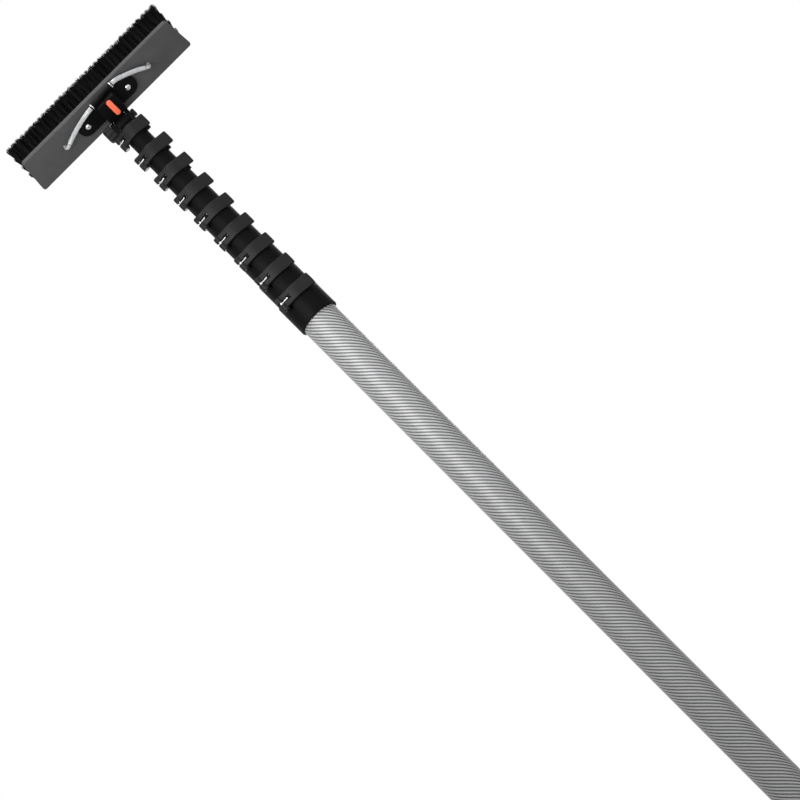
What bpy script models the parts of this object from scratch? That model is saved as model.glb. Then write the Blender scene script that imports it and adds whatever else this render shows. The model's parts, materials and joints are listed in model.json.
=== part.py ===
"""Telescopic window cleaning pole with a tilting, water-fed brush.

Ten nested carbon tubes slide along +Z. Nine lever clamps lock them, and the
brush head tilts on a cross bolt at the tip. The origin is the middle of the
butt end's face. The operator stands on the -Y side, and the brush runs along X.
All lengths are in metres.
"""
import math
from dataclasses import dataclass

import bmesh
import bpy
from mathutils import Matrix, Vector
from mathutils.geometry import interpolate_bezier

MM = 0.001
GAP = 0.3 * MM
FACETS = 24
FINE_FACETS = 12

# Pole tubes, numbered 1 at the butt to 10 at the tip
SECTIONS = 10
BASE_TUBE_RADIUS = 26.0 * MM
RADIUS_STEP = 1.75 * MM
TUBE_WALL = 1.3 * MM
TUBE_FOOT = 34.0 * MM
TIP_TUBE_TOP = 2042.0 * MM

# Butt cap, with the hole that the water hose comes out of
CAP_RADIUS = 27.5 * MM
CAP_FLANGE = 8.0 * MM
CAP_PLUG_TOP = 30.0 * MM
CAP_CHAMFER = 1.5 * MM
HOSE_HOLE_RADIUS = 6.5 * MM

# Clamp collars: a sleeve glued on one tube and a split jaw around the next
FIRST_CLAMP_HEIGHT = 1715.0 * MM
CLAMP_PITCH = 39.0 * MM
COLLAR_WALL = 3.0 * MM
COLLAR_TOP = 11.0 * MM
COLLAR_REST_GAP = 0.5 * MM
FIRST_COLLAR_FOOT = -35.0 * MM
COLLAR_CHAMFER = 1.0 * MM
JAW_FOOT = -9.5 * MM
SLIT_WIDTH = 2.0 * MM
SLIT_FOOT = -7.5 * MM
SLIT_FROM_BOSS = 10.5 * MM
LUG_REACH = 21.2 * MM
LUG_FRONT = -7.5 * MM
LUG_BACK = -1.0 * MM
LUG_TOP = -1.0 * MM
LUG_FOOT = -5.2 * MM

# Tension bolts and their bosses on the collars
PIN_X = -21.0 * MM
PIN_RISE = 5.5 * MM
PIN_STANDOFF = 7.0 * MM
PIN_RADIUS = 2.0 * MM
PIN_TOP = 8.9 * MM
PIN_FOOT = 11.8 * MM
PIN_HEAD_RADIUS = 3.3 * MM
PIN_HEAD = 1.0 * MM
PIN_CLEARANCE = 0.25 * MM
BOLT_STANDOFF = 3.0 * MM
BOLT_RADIUS = 1.5 * MM
BOSS_START = -5.4 * MM
BOSS_END = -1.0 * MM
BOSS_HALF_WIDTH = 2.2 * MM
BOSS_DEPTH = 4.5 * MM
BOSS_RISE = 2.2 * MM

# Clamp levers: a fork on the pin, a band over the front and a finger tab
LEVER_HALF_WIDTH = 9.0 * MM
LEVER_CLEARANCE = 0.9 * MM
LEVER_THICKNESS = 3.5 * MM
LOBE_RADIUS = 4.7 * MM
LOBE_FOOT = 12.0 * MM
LOBE_RISE = 6.5 * MM
LOBE_TAPER = 0.45
FORK_HALF_SLOT = 1.9 * MM
BOSS_HALF_SLOT = 2.7 * MM
FORK_CLEARANCE = 0.6 * MM
BOSS_SWING = 1.6 * MM
TAB_REACH = 29.5 * MM
LAST_TAB_REACH = 24.5 * MM
TAB_BEAD = 2.6 * MM
TAB_SETBACK = 11.0 * MM
TAB_STANDOFF = 5.0 * MM
BAND_STEPS = 12
BEAD_STEPS = 6

# Neck in the tip tube, with two cheeks for the tilt bolt
NECK_SPIGOT_LENGTH = 45.0 * MM
NECK_SHOULDER_RADIUS = 15.4 * MM
NECK_SHOULDER = 1.7 * MM
PIVOT_HEIGHT = 2053.5 * MM
CHEEK_RADIUS = 9.4 * MM
CHEEK_INNER = 10.0 * MM
CHEEK_OUTER = 16.0 * MM
PIVOT_RADIUS = 3.0 * MM
PIVOT_HEAD_RADIUS = 5.6 * MM
PIVOT_HEAD_LENGTH = 5.0 * MM
PIVOT_END = -26.0 * MM
KNOB_RADIUS = 10.8 * MM
KNOB_END = -29.5 * MM
KNOB_LOBES = 6
KNOB_FLUTE = 1.2 * MM

# Brush head, in its own frame: X along the brush, Y down the stock's back,
# Z along the bristles, and the tilt bolt at the origin
HEAD_TILT = math.radians(-37.0)
STOCK_MIDDLE = -21.0 * MM
STOCK_BACK = 25.0 * MM
STOCK_THICKNESS = 8.0 * MM
STOCK_LENGTH = 265.0 * MM
STOCK_WIDTH = 53.0 * MM
STOCK_CORNER = 4.0 * MM
STOCK_TAPER = 0.03
STOCK_EDGE = 1.2 * MM
BRISTLE_ROWS = 4
BRISTLE_ROW_PITCH = 13.0 * MM
BRISTLE_ROW_WIDTH = 7.2 * MM
BRISTLE_ROW_LENGTH = 262.0 * MM
BRISTLE_TIPS = 75.0 * MM
BRISTLE_END_FLARE = 5.0 * MM
BRISTLE_ROW_FLARE = 1.6 * MM

# Swivel hub and its tongue, which slides into the bracket's socket
HUB_RADIUS = 9.0 * MM
HUB_HALF_LENGTH = 9.6 * MM
ARM_TOP = -6.0 * MM
ARM_FOOT = 3.0 * MM
TONGUE_HALF_WIDTH = 7.0 * MM
TONGUE_END = -31.5 * MM
TONGUE_FRONT = 11.0 * MM
TONGUE_BACK = 18.3 * MM

# Bracket on the stock's back
PLATE_FRONT = 20.4 * MM
PLATE_MIDDLE = STOCK_MIDDLE
EAR_RADIUS = 14.0 * MM
SCREW_SPACING = 72.0 * MM
BLOCK_LEFT = -13.0 * MM
BLOCK_RIGHT = 17.5 * MM
BLOCK_TOP = -40.6 * MM
BLOCK_MOUTH = -10.0 * MM
BLOCK_FRONT = 2.0 * MM
SCREW_RADIUS = 2.0 * MM
SCREW_HEAD_RADIUS = 4.2 * MM
SCREW_HEAD = 2.6 * MM
SCREW_DEPTH = 6.0 * MM

# Release button in the bracket's front, on its spring
BUTTON_X = 4.5 * MM
BUTTON_TOP = -39.15 * MM
BUTTON_FOOT = -12.65 * MM
BUTTON_HALF_WIDTH = 3.8 * MM
BUTTON_PROUD = 1.5 * MM
BUTTON_BACK = 5.4 * MM
POCKET_FLOOR = 8.0 * MM
POCKET_CLEARANCE = 0.6 * MM
SPRING_RADIUS = 2.6 * MM
SPRING_WIRE = 0.35 * MM
SPRING_TURNS = 2

# Water tee, hoses and jets
TEE_X = 3.5 * MM
TEE_Y = -44.4 * MM
TEE_Z = 12.8 * MM
TEE_HALF_LENGTH = 20.5 * MM
TEE_ROLL = math.radians(-10.0)
TEE_RADIUS = 3.4 * MM
TEE_BORE = 1.0 * MM
TEE_INLET_RADIUS = 2.5 * MM
TEE_INLET_END = -36.5 * MM
BARB_RADIUS = 1.7 * MM
BARB_LENGTH = 4.0 * MM
HOSE_RADIUS = 3.1 * MM
HOSE_BORE = 2.1 * MM
HOSE_SIDES = 10
HOSE_STEPS = 14
JET_X = 75.5 * MM
JET_Z = 17.0 * MM
JET_RADIUS = 2.6 * MM
JET_BORE = 0.9 * MM
JET_ARM = 7.0 * MM
JET_BEND = 4.0 * MM
JET_TIP = 35.0 * MM
JET_ARM_SLOPES = {1: math.radians(35.0), -1: math.radians(25.0)}
HOSE_RIGHT_PULLS = (4.0 * MM, 11.0 * MM)
HOSE_LEFT_PULLS = (9.0 * MM, 17.0 * MM)

# Finishes: colour, roughness and metallic value
FINISHES = {
    "carbon_silver": ((0.42, 0.43, 0.44), 0.30, 0.3),
    "collar_black": ((0.012, 0.012, 0.013), 0.45, 0.0),
    "lever_black": ((0.028, 0.028, 0.030), 0.50, 0.0),
    "bright_steel": ((0.70, 0.70, 0.71), 0.25, 1.0),
    "cap_rubber": ((0.020, 0.020, 0.020), 0.75, 0.0),
    "stock_grey": ((0.080, 0.080, 0.082), 0.55, 0.0),
    "bristle_black": ((0.008, 0.008, 0.008), 0.60, 0.0),
    "button_orange": ((0.90, 0.12, 0.04), 0.40, 0.0),
    "clear_hose": ((0.55, 0.56, 0.57), 0.20, 0.0),
}


def tube_radius(number):
    """Outer radius of a tube, one step smaller for each section."""
    return BASE_TUBE_RADIUS - RADIUS_STEP * (number - 1)


def clamp_height(number):
    """Height of a clamp's lever middle with the pole closed."""
    return FIRST_CLAMP_HEIGHT + CLAMP_PITCH * (number - 1)


@dataclass
class ClampPlan:
    """Plan view of one clamp: its collar, lever pin and tension bolt."""

    collar: float
    pin: Vector
    pin_angle: float
    along: Vector
    out: Vector
    reach: float
    tab_reach: float


def clamp_plan(number):
    """Place the pin beside the collar, and the bolt on the tangent from it."""
    collar = tube_radius(number) + COLLAR_WALL
    pin_circle = collar + PIN_STANDOFF
    bolt_circle = collar + BOLT_STANDOFF
    pin = Vector((PIN_X, -math.sqrt(pin_circle ** 2 - PIN_X ** 2), PIN_RISE))
    pin_angle = math.atan2(pin.y, pin.x)
    boss_angle = pin_angle + math.acos(bolt_circle / pin_circle)
    out = Vector((math.cos(boss_angle), math.sin(boss_angle), 0))
    along = Vector((-out.y, out.x, 0))
    reach = math.sqrt(pin_circle ** 2 - bolt_circle ** 2)
    tab_reach = LAST_TAB_REACH if number == SECTIONS - 1 else TAB_REACH
    return ClampPlan(collar, pin, pin_angle, along, out, reach, tab_reach)


def clear_scene():
    """Remove every object that the scene starts with."""
    for item in list(bpy.data.objects):
        bpy.data.objects.remove(item, do_unlink=True)


def finish(name):
    """Return the Principled material of one finish, made on first use."""
    known = bpy.data.materials.get(name)
    if known:
        return known
    colour, roughness, metallic = FINISHES[name]
    result = bpy.data.materials.new(name)
    result.use_nodes = True
    shader = result.node_tree.nodes["Principled BSDF"]
    shader.inputs["Base Color"].default_value = (*colour, 1)
    shader.inputs["Roughness"].default_value = roughness
    shader.inputs["Metallic"].default_value = metallic
    return result


def empty(name, parent=None, location=(0, 0, 0), turn=0.0):
    """Make an empty, turned about X, that sub-parts hang on."""
    result = bpy.data.objects.new(name, None)
    result.parent = parent
    result.location = location
    result.rotation_euler = (turn, 0, 0)
    bpy.context.collection.objects.link(result)
    return result


def solid(name, shape, finish_name=None):
    """Turn a bmesh into an object with its faces pointing out."""
    bmesh.ops.remove_doubles(shape, verts=shape.verts, dist=0.00001)
    bmesh.ops.recalc_face_normals(shape, faces=shape.faces)
    mesh = bpy.data.meshes.new(name)
    shape.to_mesh(mesh)
    shape.free()
    result = bpy.data.objects.new(name, mesh)
    bpy.context.collection.objects.link(result)
    if finish_name:
        mesh.materials.append(finish(finish_name))
    return result


def combine(target, tool, operation="DIFFERENCE"):
    """Cut the tool shape from the target, or join it on, and remove the tool."""
    step = target.modifiers.new(operation.title(), "BOOLEAN")
    step.operation = operation
    step.solver = "EXACT"
    step.object = tool
    graph = bpy.context.evaluated_depsgraph_get()
    mesh = bpy.data.meshes.new_from_object(target.evaluated_get(graph))
    target.modifiers.clear()
    target.data = mesh
    bpy.data.objects.remove(tool, do_unlink=True)


def place(target, parent, location=(0, 0, 0)):
    """Hang a finished piece on its empty and smooth its round faces."""
    target.data.name = target.name
    target.data.shade_smooth()
    target.data.set_sharp_from_angle(angle=math.radians(35))
    target.parent = parent
    target.location = location
    return target


def ring_of(shape, radius, height, sides):
    """Add one ring of vertices around Z."""
    turns = [2 * math.pi * step / sides for step in range(sides)]
    return [shape.verts.new((radius * math.cos(a), radius * math.sin(a), height)) for a in turns]


def bridge(shape, lower, upper):
    """Join two equal rings of vertices with quads."""
    count = len(lower)
    for step in range(count):
        after = (step + 1) % count
        shape.faces.new((lower[step], lower[after], upper[after], upper[step]))


def lathe(profile, sides, hollow):
    """Turn a profile of (radius, height) pairs about Z.

    A hollow profile is a closed loop off the axis, and a solid one is capped at its two ends.
    """
    shape = bmesh.new()
    rings = [ring_of(shape, radius, height, sides) for radius, height in profile]
    for lower, upper in zip(rings, rings[1:]):
        bridge(shape, lower, upper)
    if hollow:
        bridge(shape, rings[-1], rings[0])
    else:
        shape.faces.new(rings[0])
        shape.faces.new(rings[-1])
    return shape


def rod(radius, start, end, sides=FINE_FACETS):
    """Make a solid round bar between two points."""
    start = Vector(start)
    run = Vector(end) - start
    shape = lathe([(radius, 0), (radius, run.length)], sides, hollow=False)
    turn = run.to_track_quat("Z", "Y").to_matrix().to_4x4()
    shape.transform(Matrix.Translation(start) @ turn)
    return shape


def block(low, high):
    """Make a box between two opposite corners."""
    low = Vector(low)
    high = Vector(high)
    shape = bmesh.new()
    bmesh.ops.create_cube(shape, size=1.0)
    shape.transform(Matrix.Translation((low + high) / 2) @ Matrix.Diagonal((*(high - low), 1)))
    return shape


def prism(outline, low, high, along_x=False):
    """Extrude a flat outline along Z, or along X for an outline of (y, z) pairs."""
    shape = bmesh.new()

    def corner(pair, level):
        spot = (level, *pair) if along_x else (*pair, level)
        return shape.verts.new(spot)

    lower = [corner(pair, low) for pair in outline]
    upper = [corner(pair, high) for pair in outline]
    bridge(shape, lower, upper)
    shape.faces.new(lower)
    shape.faces.new(upper)
    return shape


def arc(middle, radius, start, end, steps):
    """List the points of an arc, with both its ends."""
    turns = [start + (end - start) * step / steps for step in range(steps + 1)]
    return [(middle[0] + radius * math.cos(a), middle[1] + radius * math.sin(a)) for a in turns]


def rounded_outline(half_length, half_width, corner, steps, middle=(0, 0)):
    """Outline of a rectangle with round corners."""
    points = []
    for quarter in range(4):
        start = quarter * math.pi / 2
        sign_x = 1 if quarter in (0, 3) else -1
        sign_y = 1 if quarter in (0, 1) else -1
        centre = (middle[0] + sign_x * (half_length - corner), middle[1] + sign_y * (half_width - corner))
        points += arc(centre, corner, start, start + math.pi / 2, steps)
    return points


def swept_ring(shape, route, radii, side, sides):
    """Add rings of the given radii square to a route, kept level to one side direction."""
    rings = []
    for step, spot in enumerate(route):
        before = route[max(step - 1, 0)]
        after = route[min(step + 1, len(route) - 1)]
        ahead = (after - before).normalized()
        across = side.cross(ahead).normalized()
        third = ahead.cross(across)
        turns = [2 * math.pi * n / sides for n in range(sides)]
        rings.append([shape.verts.new(spot + radii[step] * (math.cos(a) * across + math.sin(a) * third))
                      for a in turns])
    return rings


def pipe(route, outer, inner, side, sides=HOSE_SIDES):
    """Sweep a hollow round wall along a route."""
    shape = bmesh.new()
    outside = swept_ring(shape, route, outer, side, sides)
    inside = swept_ring(shape, route, inner, side, sides)
    for lower, upper in zip(outside, outside[1:]):
        bridge(shape, lower, upper)
    for lower, upper in zip(inside, inside[1:]):
        bridge(shape, lower, upper)
    bridge(shape, outside[0], inside[0])
    bridge(shape, outside[-1], inside[-1])
    return shape


def make_tube(number, parent, name):
    """Carbon tube of one section, open at both ends."""
    outer = tube_radius(number)
    inner = outer - TUBE_WALL
    foot = CAP_FLANGE + GAP if number == 1 else TUBE_FOOT
    top = TIP_TUBE_TOP if number == SECTIONS else clamp_height(number) + JAW_FOOT - GAP
    shape = lathe([(outer, foot), (outer, top), (inner, top), (inner, foot)], FACETS, hollow=True)
    place(solid(name, shape, "carbon_silver"), parent)


def make_base_cap(parent):
    """Rubber bung in the butt end, with the water hose's hole."""
    plug = BASE_TUBE_RADIUS - TUBE_WALL - GAP
    profile = [
        (HOSE_HOLE_RADIUS, 0), (CAP_RADIUS - CAP_CHAMFER, 0), (CAP_RADIUS, CAP_CHAMFER),
        (CAP_RADIUS, CAP_FLANGE), (plug, CAP_FLANGE), (plug, CAP_PLUG_TOP), (HOSE_HOLE_RADIUS, CAP_PLUG_TOP),
    ]
    place(solid("base_cap", lathe(profile, FACETS, hollow=True), "cap_rubber"), parent)


def boss_box(plan, low_along, high_along, low_out, high_out, half_width):
    """Box set square to the tension bolt, measured from the bolt's tangent point."""
    shape = block((low_along, low_out, -half_width), (high_along, high_out, half_width))
    axes = Matrix((plan.along, plan.out, plan.along.cross(plan.out))).transposed().to_4x4()
    tangent = plan.pin + plan.reach * plan.along
    shape.transform(Matrix.Translation(tangent) @ axes)
    return shape


def make_collar(number, parent):
    """Clamp collar: sleeve over its own tube, split jaw over the next, and the bolt's boss."""
    plan = clamp_plan(number)
    outer = plan.collar
    sleeve = tube_radius(number) + GAP
    jaw = tube_radius(number + 1) + GAP
    foot = FIRST_COLLAR_FOOT if number == 1 else COLLAR_TOP + COLLAR_REST_GAP - CLAMP_PITCH
    profile = [
        (outer - COLLAR_CHAMFER, foot), (outer, foot + COLLAR_CHAMFER),
        (outer, COLLAR_TOP - COLLAR_CHAMFER), (outer - COLLAR_CHAMFER, COLLAR_TOP),
        (jaw, COLLAR_TOP), (jaw, JAW_FOOT), (sleeve, JAW_FOOT), (sleeve, foot),
    ]
    collar = solid(f"clamp_collar_{number}", lathe(profile, FACETS, hollow=True), "collar_black")
    boss = boss_box(plan, BOSS_START, BOSS_END, -BOSS_DEPTH, BOSS_RISE, BOSS_HALF_WIDTH)
    combine(collar, solid("boss", boss), "UNION")
    if outer + COLLAR_CHAMFER < LUG_REACH:
        lug = block((outer / 2 + jaw / 2, LUG_FRONT, LUG_FOOT), (LUG_REACH, LUG_BACK, LUG_TOP))
        combine(collar, solid("lug", lug), "UNION")
    tangent = plan.pin + plan.reach * plan.along
    hole = rod(BOLT_RADIUS + GAP, plan.pin, tangent)
    combine(collar, solid("bolt_hole", hole))
    slit = block((jaw - SLIT_WIDTH, -SLIT_WIDTH / 2, SLIT_FOOT),
                 (outer + SLIT_WIDTH, SLIT_WIDTH / 2, COLLAR_TOP + SLIT_WIDTH))
    boss_angle = math.atan2(plan.out.y, plan.out.x)
    slit.transform(Matrix.Rotation(boss_angle - SLIT_FROM_BOSS / outer, 4, "Z"))
    combine(collar, solid("slit", slit))
    place(collar, parent)


def make_bolt(number, parent):
    """Steel tension bolt: cross pin with a flat head for the lever, and shank screwed into the boss."""
    plan = clamp_plan(number)
    up = Vector((0, 0, 1))
    foot = plan.pin - PIN_FOOT * up
    pin = rod(PIN_RADIUS, foot + PIN_HEAD / 2 * up, plan.pin + PIN_TOP * up)
    bolt = solid(f"clamp_bolt_{number}", pin, "bright_steel")
    combine(bolt, solid("head", rod(PIN_HEAD_RADIUS, foot, foot + PIN_HEAD * up)), "UNION")
    end = plan.pin + (plan.reach + BOSS_END) * plan.along
    combine(bolt, solid("shank", rod(BOLT_RADIUS, plan.pin, end)), "UNION")
    place(bolt, parent)


def lever_outline(plan):
    """Plan outline of a lever: tapered root at the pin, band round the collar, straight tab, round bead."""
    inner = plan.collar + LEVER_CLEARANCE
    outer = inner + LEVER_THICKNESS
    middle = (inner + outer) / 2
    tip_x = plan.tab_reach - TAB_BEAD
    bulge = max(0.0, (plan.collar + TAB_STANDOFF) ** 2 - tip_x ** 2)
    tip = Vector((tip_x, -math.sqrt(TAB_SETBACK ** 2 + bulge)))
    leave = math.atan2(tip.y, tip.x) - math.acos(middle / tip.length)
    outside = []
    for step in range(BAND_STEPS + 1):
        part = step / BAND_STEPS
        turn = plan.pin_angle + (leave - plan.pin_angle) * part
        radius = outer + LOBE_RISE * max(0.0, 1 - part / LOBE_TAPER) ** 2
        outside.append((radius * math.cos(turn), radius * math.sin(turn)))
    bead = arc(tip, TAB_BEAD, leave, leave + math.pi, BEAD_STEPS)
    inside = arc((0, 0), inner, leave, plan.pin_angle, BAND_STEPS)
    return outside + bead + inside


def make_lever(number, parent):
    """Clamp lever, with its origin on the pin that it turns on."""
    plan = clamp_plan(number)
    up = Vector((0, 0, 1))
    foot = plan.pin - LOBE_FOOT * up
    outline = prism(lever_outline(plan), PIN_RISE - LEVER_HALF_WIDTH, PIN_RISE + LEVER_HALF_WIDTH)
    lever = solid(f"clamp_lever_{number}", outline, "lever_black")
    lobe = rod(LOBE_RADIUS, foot, plan.pin + LEVER_HALF_WIDTH * up, sides=FACETS)
    combine(lever, solid("lobe", lobe), "UNION")
    end = BOSS_END + FORK_CLEARANCE
    starts = {-plan.reach - 2 * LOBE_RADIUS: FORK_HALF_SLOT, BOSS_START - BOSS_SWING: BOSS_HALF_SLOT}
    for start, half in starts.items():
        slot = boss_box(plan, start, end, -2 * LOBE_RADIUS, 3 * LOBE_RADIUS, half)
        combine(lever, solid("fork_slot", slot))
    hole = rod(PIN_RADIUS + PIN_CLEARANCE, foot - up * GAP, plan.pin + 2 * LEVER_HALF_WIDTH * up)
    combine(lever, solid("pin_hole", hole))
    seat = plan.pin - (PIN_FOOT - PIN_HEAD - GAP) * up
    combine(lever, solid("pin_seat", rod(PIN_HEAD_RADIUS + GAP, foot - up * GAP, seat)))
    lever.data.transform(Matrix.Translation(-plan.pin))
    place(lever, parent, plan.pin)


def make_neck(parent):
    """Neck: spigot glued in the tip tube, shoulder, and two cheeks for the tilt bolt."""
    spigot = tube_radius(SECTIONS) - TUBE_WALL - GAP
    shoulder_foot = TIP_TUBE_TOP + GAP
    shoulder_top = shoulder_foot + NECK_SHOULDER
    profile = [
        (spigot, TIP_TUBE_TOP - NECK_SPIGOT_LENGTH), (spigot, shoulder_foot),
        (NECK_SHOULDER_RADIUS, shoulder_foot), (NECK_SHOULDER_RADIUS, shoulder_top),
    ]
    neck = solid("neck", lathe(profile, FACETS, hollow=False), "collar_black")
    root = shoulder_top - NECK_SHOULDER / 2
    outline = arc((0, PIVOT_HEIGHT), CHEEK_RADIUS, 0, math.pi, FINE_FACETS)
    outline += [(-CHEEK_RADIUS, root), (CHEEK_RADIUS, root)]
    for low, high in ((-CHEEK_OUTER, -CHEEK_INNER), (CHEEK_INNER, CHEEK_OUTER)):
        combine(neck, solid("cheek", prism(outline, low, high, along_x=True)), "UNION")
    pivot = Vector((0, 0, PIVOT_HEIGHT))
    reach = Vector((2 * CHEEK_OUTER, 0, 0))
    combine(neck, solid("pivot_hole", rod(PIVOT_RADIUS + GAP, pivot - reach, pivot + reach)))
    place(neck, parent)


def make_pivot(parent):
    """Tilt bolt through the cheeks, and the fluted knob that tightens it."""
    pivot = Vector((0, 0, PIVOT_HEIGHT))
    head_start = CHEEK_OUTER + GAP
    across = Vector((1, 0, 0))
    shank = rod(PIVOT_RADIUS, PIVOT_END * across, (head_start + GAP) * across)
    bolt = solid("pivot_bolt", shank, "lever_black")
    head = rod(PIVOT_HEAD_RADIUS, head_start * across, (head_start + PIVOT_HEAD_LENGTH) * across, sides=6)
    combine(bolt, solid("head", head), "UNION")
    place(bolt, parent, pivot)
    outline = []
    for step in range(4 * KNOB_LOBES):
        turn = 2 * math.pi * step / (4 * KNOB_LOBES)
        radius = KNOB_RADIUS - KNOB_FLUTE * (1 - math.cos(KNOB_LOBES * turn)) / 2
        outline.append((radius * math.cos(turn), radius * math.sin(turn)))
    knob = solid("pivot_knob", prism(outline, KNOB_END, -head_start, along_x=True), "lever_black")
    bore = rod(PIVOT_RADIUS + GAP, (PIVOT_END - GAP) * across, Vector((0, 0, 0)))
    combine(knob, solid("bore", bore))
    place(knob, parent, pivot)


def make_swivel(parent):
    """Swivel: hub on the tilt bolt, arm, and the tongue in the bracket's socket."""
    outline = [
        (ARM_TOP, 0), (ARM_FOOT, 0), (ARM_FOOT, TONGUE_BACK),
        (TONGUE_END, TONGUE_BACK), (TONGUE_END, TONGUE_FRONT), (ARM_TOP, TONGUE_FRONT),
    ]
    arm = prism(outline, -TONGUE_HALF_WIDTH, TONGUE_HALF_WIDTH, along_x=True)
    swivel = solid("swivel", arm, "collar_black")
    end = Vector((HUB_HALF_LENGTH, 0, 0))
    combine(swivel, solid("hub", rod(HUB_RADIUS, -end, end, sides=FACETS)), "UNION")
    combine(swivel, solid("hub_hole", rod(PIVOT_RADIUS + GAP, -2 * end, 2 * end)))
    place(swivel, parent)


def make_bracket(parent):
    """Bracket: eared plate on the stock, with the socket block for the swivel's tongue."""
    plate_back = STOCK_BACK - GAP
    half_length = SCREW_SPACING / 2 + EAR_RADIUS
    outline = rounded_outline(half_length, EAR_RADIUS, EAR_RADIUS - GAP, 6, (0, PLATE_MIDDLE))
    bracket = solid("bracket", prism(outline, PLATE_FRONT, plate_back), "collar_black")
    body = block((BLOCK_LEFT, BLOCK_TOP, BLOCK_FRONT), (BLOCK_RIGHT, BLOCK_MOUTH, plate_back - GAP))
    combine(bracket, solid("socket_block", body), "UNION")
    wide = TONGUE_HALF_WIDTH + GAP
    socket = block((-wide, TONGUE_END - GAP, TONGUE_FRONT - GAP), (wide, 0, TONGUE_BACK + GAP))
    combine(bracket, solid("socket", socket))
    wide = BUTTON_HALF_WIDTH + POCKET_CLEARANCE
    pocket = block((BUTTON_X - wide, BUTTON_TOP - POCKET_CLEARANCE, 0),
                   (BUTTON_X + wide, BUTTON_FOOT + POCKET_CLEARANCE, POCKET_FLOOR))
    combine(bracket, solid("button_pocket", pocket))
    inlet = rod(TEE_INLET_RADIUS + GAP, (TEE_X, TEE_Y, TEE_Z), (TEE_X, TEE_INLET_END + GAP, TEE_Z))
    combine(bracket, solid("water_inlet", inlet))
    for side in (-1, 1):
        x = side * SCREW_SPACING / 2
        hole = rod(SCREW_RADIUS + GAP, (x, PLATE_MIDDLE, 0), (x, PLATE_MIDDLE, 2 * STOCK_BACK))
        combine(bracket, solid("screw_hole", hole))
    place(bracket, parent)


def make_screws(parent):
    """Two pan-head screws that hold the bracket on the stock."""
    head_back = PLATE_FRONT - GAP
    head_front = head_back - SCREW_HEAD
    profile = [
        (0.6 * SCREW_HEAD_RADIUS, head_front), (SCREW_HEAD_RADIUS, head_front + 0.6 * SCREW_HEAD),
        (SCREW_HEAD_RADIUS, head_back), (SCREW_RADIUS, head_back),
        (SCREW_RADIUS, STOCK_BACK + SCREW_DEPTH - GAP),
    ]
    for name, side in (("bracket_screw_left", -1), ("bracket_screw_right", 1)):
        screw = solid(name, lathe(profile, FINE_FACETS, hollow=False), "bright_steel")
        place(screw, parent, (side * SCREW_SPACING / 2, PLATE_MIDDLE, 0))


def make_button(parent):
    """Release button in the bracket's front, and the coil spring behind it."""
    half_length = (BUTTON_FOOT - BUTTON_TOP) / 2
    middle = (BUTTON_X, (BUTTON_FOOT + BUTTON_TOP) / 2, 0)
    outline = rounded_outline(BUTTON_HALF_WIDTH, half_length, 0.8 * BUTTON_HALF_WIDTH, 4)
    shape = prism(outline, BLOCK_FRONT - BUTTON_PROUD, BUTTON_BACK)
    place(solid("release_button", shape, "button_orange"), parent, middle)
    low = BUTTON_BACK + GAP + SPRING_WIRE
    high = POCKET_FLOOR - GAP - SPRING_WIRE
    steps = FINE_FACETS * SPRING_TURNS
    route = []
    for step in range(steps + 1):
        turn = 2 * math.pi * step / FINE_FACETS
        height = low + (high - low) * step / steps
        route.append(Vector((SPRING_RADIUS * math.cos(turn), SPRING_RADIUS * math.sin(turn), height)))
    wire = bmesh.new()
    rings = swept_ring(wire, route, [SPRING_WIRE] * len(route), Vector((0, 0, 1)), 6)
    for lower, upper in zip(rings, rings[1:]):
        bridge(wire, lower, upper)
    wire.faces.new(rings[0])
    wire.faces.new(rings[-1])
    place(solid("button_spring", wire, "bright_steel"), parent, middle)


def make_tee(parent):
    """Water tee above the bracket, with a barb at each end and its inlet in the bracket."""
    end = TEE_HALF_LENGTH
    tip = end + BARB_LENGTH
    profile = [
        (BARB_RADIUS, -tip), (BARB_RADIUS, -end), (TEE_RADIUS, -end), (TEE_RADIUS, end),
        (BARB_RADIUS, end), (BARB_RADIUS, tip), (TEE_BORE, tip), (TEE_BORE, -tip),
    ]
    shape = lathe(profile, FINE_FACETS, hollow=True)
    turn = Matrix.Rotation(math.pi / 2 + TEE_ROLL, 4, "Y")
    shape.transform(Matrix.Translation((TEE_X, TEE_Y, TEE_Z)) @ turn)
    tee = solid("hose_tee", shape, "collar_black")
    start = (TEE_X, TEE_Y + 0.6 * TEE_RADIUS, TEE_Z)
    inlet = rod(TEE_INLET_RADIUS, start, (TEE_X, TEE_INLET_END, TEE_Z))
    combine(tee, solid("inlet", inlet), "UNION")
    bore = rod(TEE_BORE, (TEE_X, TEE_Y, TEE_Z), (TEE_X, TEE_INLET_END + TEE_BORE, TEE_Z))
    combine(tee, solid("inlet_bore", bore))
    place(tee, parent)


def jet_arm(side):
    """Direction from a jet's bend to its hose, level with the stock."""
    slope = JET_ARM_SLOPES[side]
    return Vector((-side * math.cos(slope), -math.sin(slope), 0))


def make_hose(name, side, tee_pull, jet_pull, parent):
    """Clear hose from the tee's barb to a jet's barb, held at both ends, with a Bezier curve between them."""
    arm = jet_arm(side)
    jet = Vector((side * JET_X, STOCK_MIDDLE, JET_Z))
    outward = side * Vector((math.cos(TEE_ROLL), 0, -math.sin(TEE_ROLL)))
    start = Vector((TEE_X, TEE_Y, TEE_Z)) + (TEE_HALF_LENGTH + 2 * GAP) * outward
    end = jet + (JET_ARM + 2 * GAP) * arm
    near = [start + (BARB_LENGTH + length) * outward for length in (0, tee_pull)]
    far = [end + (BARB_LENGTH + length) * arm for length in (jet_pull, 0)]
    route = [start, *interpolate_bezier(*near, *far, HOSE_STEPS), end]
    count = len(route)
    shape = pipe(route, [HOSE_RADIUS] * count, [HOSE_BORE] * count, Vector((0, 0, 1)))
    place(solid(name, shape, "clear_hose"), parent)


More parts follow.
